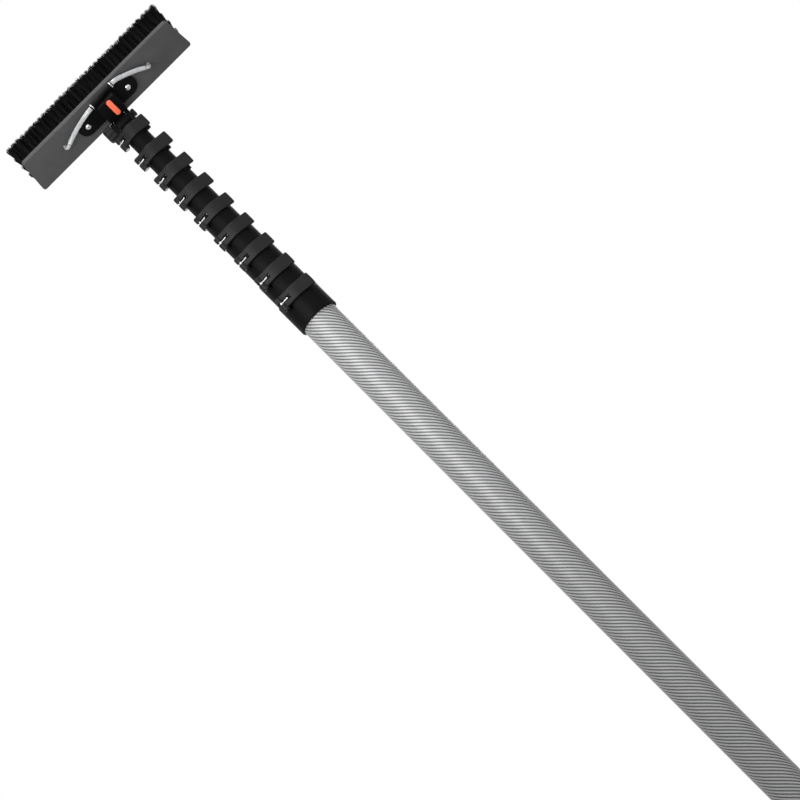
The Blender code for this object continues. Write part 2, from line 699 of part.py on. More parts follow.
def make_jet(name, side, parent):
    """Jet: barb for the hose, bend, and nozzle down through the stock."""
    arm = jet_arm(side)
    jet = Vector((side * JET_X, STOCK_MIDDLE, JET_Z))
    down = Vector((0, 0, 1))
    corner = jet + JET_BEND * (arm + down)
    bend = []
    for step in range(4):
        turn = math.pi / 2 * step / 3
        bend.append(corner - JET_BEND * (math.sin(turn) * arm + math.cos(turn) * down))
    collar_end = jet + JET_ARM * arm
    nozzle = jet + (JET_TIP - JET_Z) * down
    nudge = 0.02 * MM * arm
    route = [collar_end + BARB_LENGTH * arm, collar_end + nudge, collar_end, *bend, nozzle]
    outer = [BARB_RADIUS] * 2 + [JET_RADIUS] * (len(route) - 2)
    inner = [JET_BORE] * len(route)
    shape = pipe(route, outer, inner, arm.cross(down))
    place(solid(name, shape, "clear_hose"), parent)


def make_stock(parent):
    """Brush stock: a board with round corners, screw holes and jet holes."""
    outlines = []
    for inset in (STOCK_EDGE, 0.0):
        flat = rounded_outline(STOCK_LENGTH / 2 - inset, STOCK_WIDTH / 2 - inset,
                               STOCK_CORNER - inset, 4, (0, STOCK_MIDDLE))
        outlines.append([(x * (1 + STOCK_TAPER * (y - STOCK_MIDDLE) / STOCK_WIDTH), y) for x, y in flat])
    front = STOCK_BACK + STOCK_THICKNESS
    levels = [(outlines[0], STOCK_BACK), (outlines[1], STOCK_BACK + STOCK_EDGE), (outlines[1], front)]
    shape = bmesh.new()
    rings = [[shape.verts.new((*pair, level)) for pair in outline] for outline, level in levels]
    for lower, upper in zip(rings, rings[1:]):
        bridge(shape, lower, upper)
    shape.faces.new(rings[0])
    shape.faces.new(rings[-1])
    stock = solid("brush_stock", shape, "stock_grey")
    for side in (-1, 1):
        x = side * SCREW_SPACING / 2
        blind = rod(SCREW_RADIUS + GAP, (x, PLATE_MIDDLE, 0), (x, PLATE_MIDDLE, STOCK_BACK + SCREW_DEPTH))
        combine(stock, solid("screw_hole", blind))
        x = side * JET_X
        through = rod(JET_RADIUS + GAP, (x, STOCK_MIDDLE, 0), (x, STOCK_MIDDLE, 2 * front))
        combine(stock, solid("jet_hole", through))
    place(stock, parent)


def make_bristles(parent):
    """Rows of bristles, each one slab that flares to its ends and away from the middle row."""
    root = STOCK_BACK + STOCK_THICKNESS + GAP
    for row in range(BRISTLE_ROWS):
        offset = row - (BRISTLE_ROWS - 1) / 2
        middle = STOCK_MIDDLE + offset * BRISTLE_ROW_PITCH
        tips = middle + 2 * offset * BRISTLE_ROW_FLARE
        half = BRISTLE_ROW_LENGTH / 2
        low = rounded_outline(half, BRISTLE_ROW_WIDTH / 2, BRISTLE_ROW_WIDTH / 4, 2, (0, middle))
        high = rounded_outline(half + BRISTLE_END_FLARE, BRISTLE_ROW_WIDTH / 2 + BRISTLE_ROW_FLARE,
                               BRISTLE_ROW_WIDTH / 4, 2, (0, tips))
        shape = bmesh.new()
        lower = [shape.verts.new((*pair, root)) for pair in low]
        upper = [shape.verts.new((*pair, BRISTLE_TIPS)) for pair in high]
        bridge(shape, lower, upper)
        shape.faces.new(lower)
        shape.faces.new(upper)
        place(solid(f"bristle_row_{row + 1}", shape, "bristle_black"), parent)


def make_pole():
    """Build the tubes, collars, bolts and levers, each section on its own empty."""
    parent = None
    for number in range(1, SECTIONS + 1):
        parent = empty(f"section_{number}", parent)
        if number == 1:
            name = "base_tube"
            make_base_cap(parent)
        else:
            name = "tip_tube" if number == SECTIONS else f"section_tube_{number}"
        make_tube(number, parent, name)
        if number < SECTIONS:
            clamp = empty(f"clamp_{number}", parent, (0, 0, clamp_height(number)))
            make_collar(number, clamp)
            make_bolt(number, clamp)
            make_lever(number, clamp)
    return parent


def make_head(tip):
    """Build the neck on the tip tube, and the brush head on its tilt bolt."""
    make_neck(tip)
    make_pivot(tip)
    head = empty("head", tip, (0, 0, PIVOT_HEIGHT), HEAD_TILT)
    make_swivel(head)
    make_bracket(head)
    make_screws(head)
    make_button(head)
    make_tee(head)
    make_hose("hose_right", 1, *HOSE_RIGHT_PULLS, head)
    make_hose("hose_left", -1, *HOSE_LEFT_PULLS, head)
    make_jet("jet_right", 1, head)
    make_jet("jet_left", -1, head)
    make_stock(head)
    make_bristles(head)


clear_scene()
make_head(make_pole())
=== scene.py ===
"""Looks of a telescopic window cleaning pole with a tilting, water-fed brush.

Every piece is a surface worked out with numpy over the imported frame: the twill tubes, the
lever clamps, the neck with its knob, the bracket, the water line and the tufted brush.
"""
from __future__ import annotations

import json
import logging
import math
from dataclasses import dataclass, field
from enum import Enum
from typing import Any, Callable, Sequence

import bmesh
import bpy
import numpy as np
from mathutils import Matrix, Vector

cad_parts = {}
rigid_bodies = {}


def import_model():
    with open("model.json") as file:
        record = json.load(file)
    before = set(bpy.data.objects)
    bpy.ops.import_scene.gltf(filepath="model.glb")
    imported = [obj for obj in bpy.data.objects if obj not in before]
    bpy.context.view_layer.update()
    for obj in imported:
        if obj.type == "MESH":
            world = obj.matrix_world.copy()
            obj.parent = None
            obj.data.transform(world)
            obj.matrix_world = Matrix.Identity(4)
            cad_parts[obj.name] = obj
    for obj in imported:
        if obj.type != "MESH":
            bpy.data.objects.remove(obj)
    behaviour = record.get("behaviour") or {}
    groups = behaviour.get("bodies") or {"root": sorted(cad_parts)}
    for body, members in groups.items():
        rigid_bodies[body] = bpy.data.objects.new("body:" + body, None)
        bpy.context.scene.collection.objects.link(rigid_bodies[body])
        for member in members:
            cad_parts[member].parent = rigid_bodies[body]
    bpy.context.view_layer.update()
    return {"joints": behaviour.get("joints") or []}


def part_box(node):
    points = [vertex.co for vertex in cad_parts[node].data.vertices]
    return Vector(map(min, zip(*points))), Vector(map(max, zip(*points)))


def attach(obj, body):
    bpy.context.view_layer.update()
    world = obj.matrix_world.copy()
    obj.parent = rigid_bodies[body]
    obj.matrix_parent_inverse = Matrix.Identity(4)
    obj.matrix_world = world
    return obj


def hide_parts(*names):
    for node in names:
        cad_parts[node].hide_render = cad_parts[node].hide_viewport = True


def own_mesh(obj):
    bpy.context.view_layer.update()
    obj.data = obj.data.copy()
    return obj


LOG = logging.getLogger("pole")
MM = 0.001
FULL_TURN = 2 * math.pi
GOLDEN_ANGLE = 2.39996
SHARP_ANGLE = math.radians(33)
SECTIONS = 10
COARSE_SIDES = 24
ROUND_SIDES = 40
FINE_SIDES = 96
UP = np.array((0.0, 0.0, 1.0))
ACROSS = np.array(((0.0, 1.0, 0.0), (0.0, 0.0, 1.0), (1.0, 0.0, 0.0)))


class Join(Enum):
    """How a tool shape acts on a piece."""

    CUT = "DIFFERENCE"
    ADD = "UNION"


@dataclass
class Shape:
    """One closed surface: its points, its quads, and its caps of many corners."""

    points: np.ndarray
    quads: np.ndarray
    caps: list[np.ndarray] = field(default_factory=list)

    def placed(self, axes: np.ndarray, origin: Sequence[float]) -> Shape:
        """Carry the shape into a frame: each coordinate times its axis (a row), plus the origin."""
        return Shape(self.points @ np.asarray(axes) + np.asarray(origin), self.quads, self.caps)

    def raised(self, height: float) -> Shape:
        """Move the shape along +Z."""
        return self.placed(np.eye(3), (0, 0, height))


def merged(shapes: Sequence[Shape]) -> Shape:
    """Put several shapes into one, each keeping its own shell.

    Args:
        shapes: The shapes to gather.

    Returns:
        One shape whose face numbers are shifted by the points before them.
    """
    starts = np.cumsum([0] + [len(shape.points) for shape in shapes])
    quads = [shape.quads + start for shape, start in zip(shapes, starts)]
    caps = [cap + start for shape, start in zip(shapes, starts) for cap in shape.caps]
    return Shape(np.concatenate([shape.points for shape in shapes]), np.concatenate(quads), caps)


def skin(rows: np.ndarray, ring: bool = False, capped: bool = False) -> Shape:
    """Cover a grid of points with quads; every row closes on itself.

    Args:
        rows: Points as (rows, columns, 3).
        ring: Join the last row to the first, as on a torus.
        capped: Close the first and the last row with one flat face each.

    Returns:
        The covered grid.
    """
    count, width = rows.shape[:2]
    index = np.arange(count * width).reshape(count, width)
    ends = [index[0], index[-1]] if capped else []
    index = np.hstack([index, index[:, :1]])
    if ring:
        index = np.vstack([index, index[:1]])
    quads = np.stack([index[:-1, :-1], index[:-1, 1:], index[1:, 1:], index[1:, :-1]], axis=-1)
    return Shape(rows.reshape(-1, 3), quads.reshape(-1, 4), ends)


def eased(outline: Sequence[Sequence[float]], radius: float | Sequence[float],
          steps: int = 4) -> np.ndarray:
    """Round every corner of a closed outline with a quadratic curve.

    The curve starts and ends `radius` away from the corner along its two edges, or 45% of
    the shorter edge, and the corner itself is its middle control point.

    Args:
        outline: Corners as (x, y) pairs.
        radius: Distance from a corner to the ends of its curve, for all corners or each.
        steps: Pieces of each curve.

    Returns:
        The rounded outline as (n, 2).
    """
    corner = np.asarray(outline, float)
    back = np.roll(corner, 1, axis=0) - corner
    ahead = np.roll(corner, -1, axis=0) - corner
    back_reach = np.linalg.norm(back, axis=1)
    ahead_reach = np.linalg.norm(ahead, axis=1)
    cut = np.minimum(radius, 0.45 * np.minimum(back_reach, ahead_reach))
    start = corner + back * (cut / back_reach)[:, None]
    end = corner + ahead * (cut / ahead_reach)[:, None]
    t = np.linspace(0, 1, steps + 1)[None, :, None]
    curve = (1 - t) ** 2 * start[:, None] + 2 * t * (1 - t) * corner[:, None] + t ** 2 * end[:, None]
    return curve.reshape(-1, 2)


def rays(turn: np.ndarray) -> np.ndarray:
    """Unit vectors (cos, sin) in the directions of some angles."""
    return np.stack([np.cos(turn), np.sin(turn)], axis=-1)


def arc(middle: Sequence[float], radius: float, start: float, end: float, steps: int) -> np.ndarray:
    """Points of an arc with both its ends: the middle plus the radius times (cos, sin)."""
    return np.asarray(middle) + radius * rays(np.linspace(start, end, steps + 1))


def round_box(half_x: float, half_y: float, corner: float,
              middle: Sequence[float] = (0, 0)) -> np.ndarray:
    """Outline of a rectangle with true arcs at its corners.

    Args:
        half_x: Half its size along X.
        half_y: Half its size along Y.
        corner: Radius of the arcs.
        middle: Its centre.

    Returns:
        The outline as (n, 2).
    """
    x, y = half_x - corner, half_y - corner
    quarter = math.pi / 2
    centres = ((x, y), (-x, y), (-x, -y), (x, -y))
    arcs = [arc(centre, corner, n * quarter, (n + 1) * quarter, 8) for n, centre in enumerate(centres)]
    return np.concatenate(arcs) + np.asarray(middle)


def turned(profile: Sequence[Sequence[float]], sides: int, hollow: bool,
           lobes: np.ndarray | None = None) -> Shape:
    """Turn a profile of (radius, height) about Z.

    A point is (radius cos a, radius sin a, height) for each angle a. A hollow profile is a
    closed loop off the axis, and a solid one is capped at both its ends.

    Args:
        profile: The profile's (radius, height) pairs.
        sides: Number of angles.
        hollow: Close the profile on itself.
        lobes: Factors on the radius as (rows, sides), for recesses and flutes.

    Returns:
        The turned shape.
    """
    pairs = np.asarray(profile, float)
    angle = np.arange(sides) * FULL_TURN / sides
    radius = pairs[:, :1] * (np.ones((1, sides)) if lobes is None else lobes)
    height = np.broadcast_to(pairs[:, 1:], radius.shape)
    rows = np.stack([radius * np.cos(angle), radius * np.sin(angle), height], axis=-1)
    return skin(rows, ring=hollow, capped=not hollow)


def round_ends(low: float, high: float, edge: float, crown: float = 0.0,
               steps: int = 4) -> tuple[np.ndarray, np.ndarray]:
    """Levels and insets of a slab with rounded rims.

    Near each end the inset follows a quarter circle of radius `edge`, and over the whole
    height it grows by `crown` times the square of the distance from the middle.

    Args:
        low: First level.
        high: Last level.
        edge: Radius of the rims.
        crown: Extra inset at the ends.
        steps: Pieces of a rim.

    Returns:
        Levels and insets, equally long.
    """
    turn = np.linspace(0, math.pi / 2, steps + 1)
    start = low + edge * (1 - np.cos(turn))
    plain = np.linspace(low + edge, high - edge, 7)[1:-1]
    level = np.concatenate([start, plain, (low + high - start)[::-1]])
    rim = edge * (1 - np.sin(turn))
    inset = np.concatenate([rim, np.zeros(len(plain)), rim[::-1]])
    away = (level - (low + high) / 2) / ((high - low) / 2)
    return level, inset + crown * away ** 2


def slab(outline: np.ndarray, level: np.ndarray, inset: np.ndarray) -> Shape:
    """Carry a flat outline along Z, drawn in along its own normals by the inset of each level.

    A point is outline(u) minus inset(v) times the mitred normal(u), at height level(v).

    Args:
        outline: Closed outline as (n, 2).
        level: Height of each row.
        inset: Distance that each row is drawn in.

    Returns:
        The capped slab.
    """
    keep = np.linalg.norm(outline - np.roll(outline, 1, axis=0), axis=1) > 1e-7
    flat = outline[keep]
    edge = np.roll(flat, -1, axis=0) - flat
    edge /= np.linalg.norm(edge, axis=1)[:, None]
    side = np.stack([edge[:, 1], -edge[:, 0]], axis=-1)
    before = np.roll(side, 1, axis=0)
    mitre = (side + before) / np.maximum(1 + np.sum(side * before, axis=1), 0.4)[:, None]
    after = np.roll(flat, -1, axis=0)
    area = np.sum(flat[:, 0] * after[:, 1] - flat[:, 1] * after[:, 0])
    plane = flat[None] - np.sign(area) * inset[:, None, None] * mitre[None]
    height = np.broadcast_to(level[:, None, None], (*plane.shape[:2], 1))
    return skin(np.concatenate([plane, height], axis=-1), capped=True)


def rounded_slab(outline: np.ndarray, low: float, high: float, edge: float, crown: float = 0.0) -> Shape:
    """Slab between two levels with rounded rims and a slight crown."""
    return slab(outline, *round_ends(low, high, edge, crown))


def prism(outline: np.ndarray, low: float, high: float) -> Shape:
    """Slab between two levels with square rims."""
    return slab(outline, np.array((low, high)), np.zeros(2))


def block(low: Sequence[float], high: Sequence[float]) -> Shape:
    """Box between two opposite corners."""
    (x0, y0, z0), (x1, y1, z1) = low, high
    return prism(np.array(((x0, y0), (x1, y0), (x1, y1), (x0, y1))), z0, z1)


def swept(route: np.ndarray, radius: np.ndarray, side: Sequence[float], sides: int) -> np.ndarray:
    """Rings of points square to a route, kept level to one side direction.

    A point is route(u) + radius(u) (cos a across(u) + sin a third(u)), where across is square
    to the side direction and the route, and third to the route and across.

    Args:
        route: Points of the path as (n, 3).
        radius: Ring radius at each point.
        side: Direction that the rings keep level to.
        sides: Points on a ring.

    Returns:
        Points as (n, sides, 3).
    """
    ahead = np.gradient(route, axis=0)
    ahead /= np.linalg.norm(ahead, axis=1)[:, None]
    across = np.cross(np.asarray(side, float), ahead)
    across /= np.linalg.norm(across, axis=1)[:, None]
    third = np.cross(ahead, across)
    angle = np.arange(sides) * FULL_TURN / sides
    spoke = np.cos(angle)[None, :, None] * across[:, None] + np.sin(angle)[None, :, None] * third[:, None]
    return route[:, None] + np.asarray(radius, float)[:, None, None] * spoke


def pipe(route: np.ndarray, outer: np.ndarray, inner: np.ndarray, side: Sequence[float],
         sides: int) -> Shape:
    """Hollow wall along a route: its outer rings, then its inner rings backwards, closed into a ring."""
    rows = np.concatenate([swept(route, outer, side, sides), swept(route, inner, side, sides)[::-1]])
    return skin(rows, ring=True)


def bezier(corners: Sequence[np.ndarray], steps: int) -> np.ndarray:
    """Cubic Bezier curve, the sum of four corners with weights that are cubic in the way along it.

    Args:
        corners: Its start, the two corners that pull it, and its end.
        steps: Number of its pieces.

    Returns:
        Points as (steps + 1, 3).
    """
    t = np.linspace(0, 1, steps + 1)[:, None]
    weights = np.concatenate([(1 - t) ** 3, 3 * t * (1 - t) ** 2, 3 * t ** 2 * (1 - t), t ** 3], axis=-1)
    return weights @ np.array(corners)


def rod_axes(direction: Sequence[float]) -> np.ndarray:
    """Frame for a shape that is turned about Z and is to lie along a direction.

    Args:
        direction: The direction, of any length.

    Returns:
        Rows of the frame, the third along the direction.
    """
    third = np.asarray(direction, float) / np.linalg.norm(direction)
    helper = UP if abs(third[2]) < 0.9 else np.array((1.0, 0.0, 0.0))
    first = np.cross(helper, third)
    first /= np.linalg.norm(first)
    return np.stack([first, np.cross(third, first), third])


def rod(radius: float, start: Sequence[float], end: Sequence[float], sides: int = 32,
        edge: float = 0.0) -> Shape:
    """Round bar between two points, with quarter-circle rims.

    Args:
        radius: Radius of the bar.
        start: Middle of its first end.
        end: Middle of its last end.
        sides: Number of its sides.
        edge: Radius of its rims.

    Returns:
        The capped bar.
    """
    run = np.asarray(end, float) - np.asarray(start, float)
    length = float(np.linalg.norm(run))
    profile = np.array(((radius, 0.0), (radius, length)))
    if edge:
        turn = np.linspace(0, math.pi / 2, 4)
        rim = np.stack([radius - edge * (1 - np.sin(turn)), edge * (1 - np.cos(turn))], axis=-1)
        profile = np.concatenate([rim, rim[::-1] * (1, -1) + (0, length)])
    return turned(profile, sides, hollow=False).placed(rod_axes(run), start)


def linked(name: str, data: bpy.types.ID) -> bpy.types.Object:
    """Put an object into the scene.

    Args:
        name: Its name.
        data: Its mesh, lamp or camera.

    Returns:
        The new object, at the origin.
    """
    made = bpy.data.objects.new(name, data)
    bpy.context.scene.collection.objects.link(made)
    return made


def new_piece(name: str, shape: Shape) -> bpy.types.Object:
    """Make an object at the origin from a shape, with doubles merged and faces pointing out.

    Args:
        name: Name of the piece.
        shape: Its surface, in the frame's own metres.

    Returns:
        The new object.
    """
    mesh = bpy.data.meshes.new(name)
    faces = shape.quads.tolist() + [cap.tolist() for cap in shape.caps]
    mesh.from_pydata(shape.points.tolist(), [], faces)
    work = bmesh.new()
    work.from_mesh(mesh)
    bmesh.ops.remove_doubles(work, verts=work.verts, dist=1e-6)
    bmesh.ops.recalc_face_normals(work, faces=work.faces)
    work.to_mesh(mesh)
    work.free()
    return linked(name, mesh)


def carve(piece: bpy.types.Object, tool: Shape, join: Join) -> None:
    """Cut a tool shape out of a piece, or join it on, and apply the result to its mesh.

    Args:
        piece: The piece, whose mesh is replaced.
        tool: The shape that acts on it.
        join: How it acts.
    """
    helper = new_piece("tool", tool)
    step = piece.modifiers.new("carve", "BOOLEAN")
    step.operation = join.value
    step.solver = "MANIFOLD"
    step.object = helper
    graph = bpy.context.evaluated_depsgraph_get()
    mesh = bpy.data.meshes.new_from_object(piece.evaluated_get(graph))
    piece.modifiers.clear()
    piece.data = mesh
    bpy.data.objects.remove(helper, do_unlink=True)


def arithmetic(operation: str, swapped: bool = False) -> Callable[[Wire, Wire | float], Wire]:
    """Method of a wire that joins it with another value through one Math node.

    Args:
        operation: Blender's name of the operation.
        swapped: Whether the other value comes first.

    Returns:
        The method.
    """
    def act(self: Wire, other: Wire | float) -> Wire:
        """Add the node."""
        return self.desk.math(operation, *((other, self) if swapped else (self, other)))

    return act


class Wire:
    """A socket of a finish, with arithmetic that adds Math nodes."""

    __add__ = arithmetic("ADD")
    __radd__ = arithmetic("ADD", swapped=True)
    __rsub__ = arithmetic("SUBTRACT", swapped=True)
    __mul__ = arithmetic("MULTIPLY")
    __rmul__ = arithmetic("MULTIPLY", swapped=True)
    __truediv__ = arithmetic("DIVIDE")
    __mod__ = arithmetic("FLOORED_MODULO")
    __lt__ = arithmetic("LESS_THAN")

    def __init__(self, desk: Desk, socket: bpy.types.NodeSocket) -> None:
        """Remember the socket and the desk that it belongs to."""
        self.desk = desk
        self.socket = socket

    def floor(self) -> Wire:
        """The whole part of this value."""
        return self.desk.math("FLOOR", self)


class Desk:
    """The nodes of a finish, or of the surround, around one shader."""

    def __init__(self, tree: bpy.types.NodeTree, shader: str) -> None:
        """Work on a node tree, around the shader of that name."""
        self.tree = tree
        self.shader = tree.nodes[shader]

    def node(self, kind: str, settings: dict[str, Any] | None = None,
             sockets: dict[Any, Any] | None = None, out: int = 0) -> Wire:
        """Add a node.

        Args:
            kind: Blender's name of the node's type.
            settings: Values of its own properties, set first.
            sockets: Values or wires of its inputs, by name or number.
            out: Number of the output to hand back.

        Returns:
            A wire on that output.
        """
        made = self.tree.nodes.new(kind)
        for key, value in (settings or {}).items():
            setattr(made, key, value)
        for key, value in (sockets or {}).items():
            self.feed(made.inputs[key], value)
        return Wire(self, made.outputs[out])

    def feed(self, socket: bpy.types.NodeSocket, value: Any) -> None:
        """Link a wire into a socket, or set the socket's own value.

        Args:
            socket: An input of some node.
            value: A wire, or a plain value.
        """
        if isinstance(value, Wire):
            self.tree.links.new(value.socket, socket)
        else:
            socket.default_value = value

    def math(self, operation: str, *values: Wire | float) -> Wire:
        """Add a Math node on wires and numbers."""
        return self.node("ShaderNodeMath", {"operation": operation}, dict(enumerate(values)))

    def mix(self, factor: Wire, low: Any, high: Any) -> Wire:
        """Blend two colours by a factor."""
        return self.node("ShaderNodeMix", {"data_type": "RGBA"}, {0: factor, 6: low, 7: high}, out=2)

    def place(self) -> Wire:
        """Object coordinates, in the frame's metres."""
        return self.node("ShaderNodeTexCoord", out=3)

    def attribute(self, name: str) -> Wire:
        """Number that a piece's own attribute holds."""
        return self.node("ShaderNodeAttribute", {"attribute_name": name}, out=2)

    def axes(self, vector: Wire) -> tuple[Wire, ...]:
        """The three parts of a vector."""
        split = self.node("ShaderNodeSeparateXYZ", None, {0: vector}).socket.node
        return tuple(Wire(self, output) for output in split.outputs)

    def noise(self, vector: Wire, scale: float, detail: float = 2.0) -> Wire:
        """Soft noise between about 0.2 and 0.8 with `scale` cells to the metre."""
        return self.node("ShaderNodeTexNoise", None, {"Vector": vector, "Scale": scale, "Detail": detail})

    def stretched(self, vector: Wire, factors: Sequence[float]) -> Wire:
        """Coordinates scaled by a factor on each axis."""
        return self.node("ShaderNodeMapping", None, {"Vector": vector, "Scale": tuple(factors)})

    def step(self, value: Wire, low: float, high: float) -> Wire:
        """Smooth step from 0 at `low` to 1 at `high`."""
        sockets = {"Value": value, "From Min": low, "From Max": high}
        return self.node("ShaderNodeMapRange", {"interpolation_type": "SMOOTHSTEP"}, sockets)

    def bump(self, height: Wire, strength: float, distance: float) -> Wire:
        """Normal that follows a height."""
        sockets = {"Strength": strength, "Distance": distance, "Height": height}
        return self.node("ShaderNodeBump", None, sockets)

    def dress(self, inputs: dict[str, Any]) -> None:
        """Feed the shader's own inputs."""
        for key, value in inputs.items():
            self.feed(self.shader.inputs[key], value)


def grey(level: float, warmth: float = 0.0) -> tuple[float, float, float, float]:
    """Neutral linear colour, a little warm or cool."""
    return (level * (1 + warmth), level, level * (1 - warmth), 1.0)


def lit(colour: Sequence[float], factor: float) -> tuple[float, float, float, float]:
    """A colour made lighter or darker by a factor."""
    return (*(min(1.0, part * factor) for part in colour[:3]), 1.0)


@dataclass(frozen=True)
class Finish:
    """A finish of the part, with the slot name that its material is named after."""

    slot: str

    def material(self) -> bpy.types.Material:
        """The finish's material, made on first use.

        Returns:
            The material, named after the slot.
        """
        name = f"{self.slot}_look"
        known = bpy.data.materials.get(name)
        if known is None:
            known = bpy.data.materials.new(name)
            known.use_nodes = True
            self.mix_on(Desk(known.node_tree, "Principled BSDF"))
        return known

    def mix_on(self, desk: Desk) -> None:
        """Lay the finish's nodes on a desk."""
        raise NotImplementedError


@dataclass(frozen=True)
class TwillTube(Finish):
    """Silver twill under clear lacquer: pale and dark tows, two over and two under, in 45 degree lines."""

    tow: float = 1.44 * MM
    pale: float = 0.485
    dark: float = 0.09
    lacquer: float = 0.28
    gloss: float = 0.25
    strand_cells: float = 900.0
    strand_stretch: tuple[float, float, float] = (1.0, 1.0, 0.12)
    cloud_cells: float = 14.0
    relief: float = 0.22
    relief_depth: float = 0.06 * MM

    def mix_on(self, desk: Desk) -> None:
        """Count the tows round the tube and along it, and colour each cell by its place in the twill.

        The angle about Z and the radius give the tows round the tube, always a multiple of four, so
        that the weave closes. The sum of the two cell numbers, modulo four, tells which tow is on top.

        Args:
            desk: Where the nodes go.
        """
        spot = desk.place()
        x, y, z = desk.axes(spot)
        radius = desk.math("SQRT", x * x + y * y)
        tows = 4 * (radius * (FULL_TURN / (4 * self.tow)) + 0.5).floor()
        around = desk.math("ARCTAN2", y, x) * tows * (1 / FULL_TURN)
        along = z * tows / (radius * FULL_TURN)
        turn = (around.floor() + along.floor()) % 4.0
        over = turn < 1.5
        across = over * (around % 1.0) + (1 - over) * (along % 1.0)
        crown = 4 * across * (1 - across)
        strand = desk.noise(desk.stretched(spot, self.strand_stretch), self.strand_cells, 3.0)
        cloud = desk.noise(spot, self.cloud_cells)
        # Each pale tow is darkened toward its edges by its crown: painted shade of the tow's roundness. The
        # strand noise is random tone.
        tone = over * (0.72 + 0.28 * crown) * (0.86 + 0.28 * strand)
        colour = desk.mix(tone, grey(self.dark), grey(self.pale, -0.01))
        desk.dress({
            "Base Color": colour,
            "Metallic": 0.02 + 0.04 * over,
            "Roughness": 0.44 - 0.12 * crown + 0.10 * cloud,
            "Specular IOR Level": self.gloss,
            "Coat Weight": self.lacquer * (0.85 + 0.3 * cloud),
            "Coat Roughness": 0.45,
            "Normal": desk.bump(crown + 0.5 * over, self.relief, self.relief_depth),
        })


@dataclass(frozen=True)
class Moulding(Finish):
    """Moulded plastic: fine spark grain, slow mottling, pale rubbing where hands and glass touch, and an
    optional painted glow.
    """

    colour: tuple[float, float, float]
    roughness: float
    grain: float
    relief: float
    rub: float
    gloss: float
    painted_glow: float = 0.0
    cloud_cells: float = 45.0
    scuff_cells: float = 420.0
    scuff_stretch: tuple[float, float, float] = (1.0, 1.0, 0.25)
    relief_depth: float = 0.08 * MM

    def mix_on(self, desk: Desk) -> None:
        """A noise of the grain's size makes the relief, and two larger ones mottle and rub the colour.

        Args:
            desk: Where the nodes go.
        """
        spot = desk.place()
        fine = desk.noise(spot, 1 / self.grain, 3.0)
        cloud = desk.noise(spot, self.cloud_cells, 3.0)
        scuff = desk.noise(desk.stretched(spot, self.scuff_stretch), self.scuff_cells, 4.0)
        worn = desk.step(scuff + 0.4 * cloud, 0.72, 0.95) * self.rub
        base = desk.mix(cloud, lit(self.colour, 0.82), lit(self.colour, 1.2))
        desk.dress({
            "Base Color": desk.mix(worn, base, lit(self.colour, 2.2)),
            "Roughness": self.roughness - 0.1 + 0.14 * fine + 0.1 * cloud + 0.15 * worn,
            "Specular IOR Level": self.gloss,
            # Emission in the part's own colour is a painted glow: it brightens the part though it is no
            # lamp.
            "Emission Color": lit(self.colour, 1.0),
            "Emission Strength": self.painted_glow,
            "Normal": desk.bump(fine, self.relief, self.relief_depth),
        })


@dataclass(frozen=True)
class BrightSteel(Finish):
    """Turned bright steel: fine drawn lines, and a light haze from use."""

    colour: float = 0.55
    line_cells: float = 700.0
    line_stretch: tuple[float, float, float] = (1.0, 1.0, 6.0)
    haze_cells: float = 160.0
    relief: float = 0.10
    relief_depth: float = 0.03 * MM

    def mix_on(self, desk: Desk) -> None:
        """Noise squeezed along one axis draws the lines, and a soft one dulls some places.

        Args:
            desk: Where the nodes go.
        """
        spot = desk.place()
        lines = desk.noise(desk.stretched(spot, self.line_stretch), self.line_cells, 3.0)
        haze = desk.noise(spot, self.haze_cells)
        desk.dress({
            "Base Color": desk.mix(haze, grey(self.colour * 0.82, 0.01), grey(self.colour * 1.12)),
            "Metallic": 1.0,
            "Roughness": 0.16 + 0.14 * lines + 0.12 * haze,
            "Normal": desk.bump(lines, self.relief, self.relief_depth),
        })


@dataclass(frozen=True)
class CapRubber(Finish):
    """Black rubber: dull, pebbled, with grey dust worn into it."""

    dark: float = 0.016
    dusty: float = 0.045
    pebble_cells: float = 1100.0
    dust_cells: float = 70.0
    relief: float = 0.35
    relief_depth: float = 0.15 * MM

    def mix_on(self, desk: Desk) -> None:
        """A fine noise pebbles the skin, and a cloudy one lays the dust.

        Args:
            desk: Where the nodes go.
        """
        spot = desk.place()
        pebble = desk.noise(spot, self.pebble_cells, 4.0)
        dust = desk.step(desk.noise(spot, self.dust_cells, 5.0), 0.45, 0.75)
        desk.dress({
            "Base Color": desk.mix(dust, grey(self.dark), grey(self.dusty, 0.03)),
            "Roughness": 0.68 + 0.18 * pebble,
            "Normal": desk.bump(pebble, self.relief, self.relief_depth),
        })


@dataclass(frozen=True)
class BristleNylon(Finish):
    """Black nylon bristles, each with its own tone and a duller, paler tip."""

    dark: float = 0.0014
    pale: float = 0.0036
    worn: float = 0.005
    gloss: float = 0.025

    def mix_on(self, desk: Desk) -> None:
        """The piece's own attributes give each bristle's tone and the way along it.

        Args:
            desk: Where the nodes go.
        """
        tone = desk.attribute("tone")
        along = desk.attribute("along")
        worn = desk.step(along, 0.80, 1.0) * 0.5
        shade = desk.mix(tone, grey(self.dark), grey(self.pale))
        desk.dress({
            "Base Color": desk.mix(worn, shade, grey(self.worn)),
            "Roughness": 0.42 + 0.16 * tone + 0.2 * worn,
            "Specular IOR Level": self.gloss,
        })


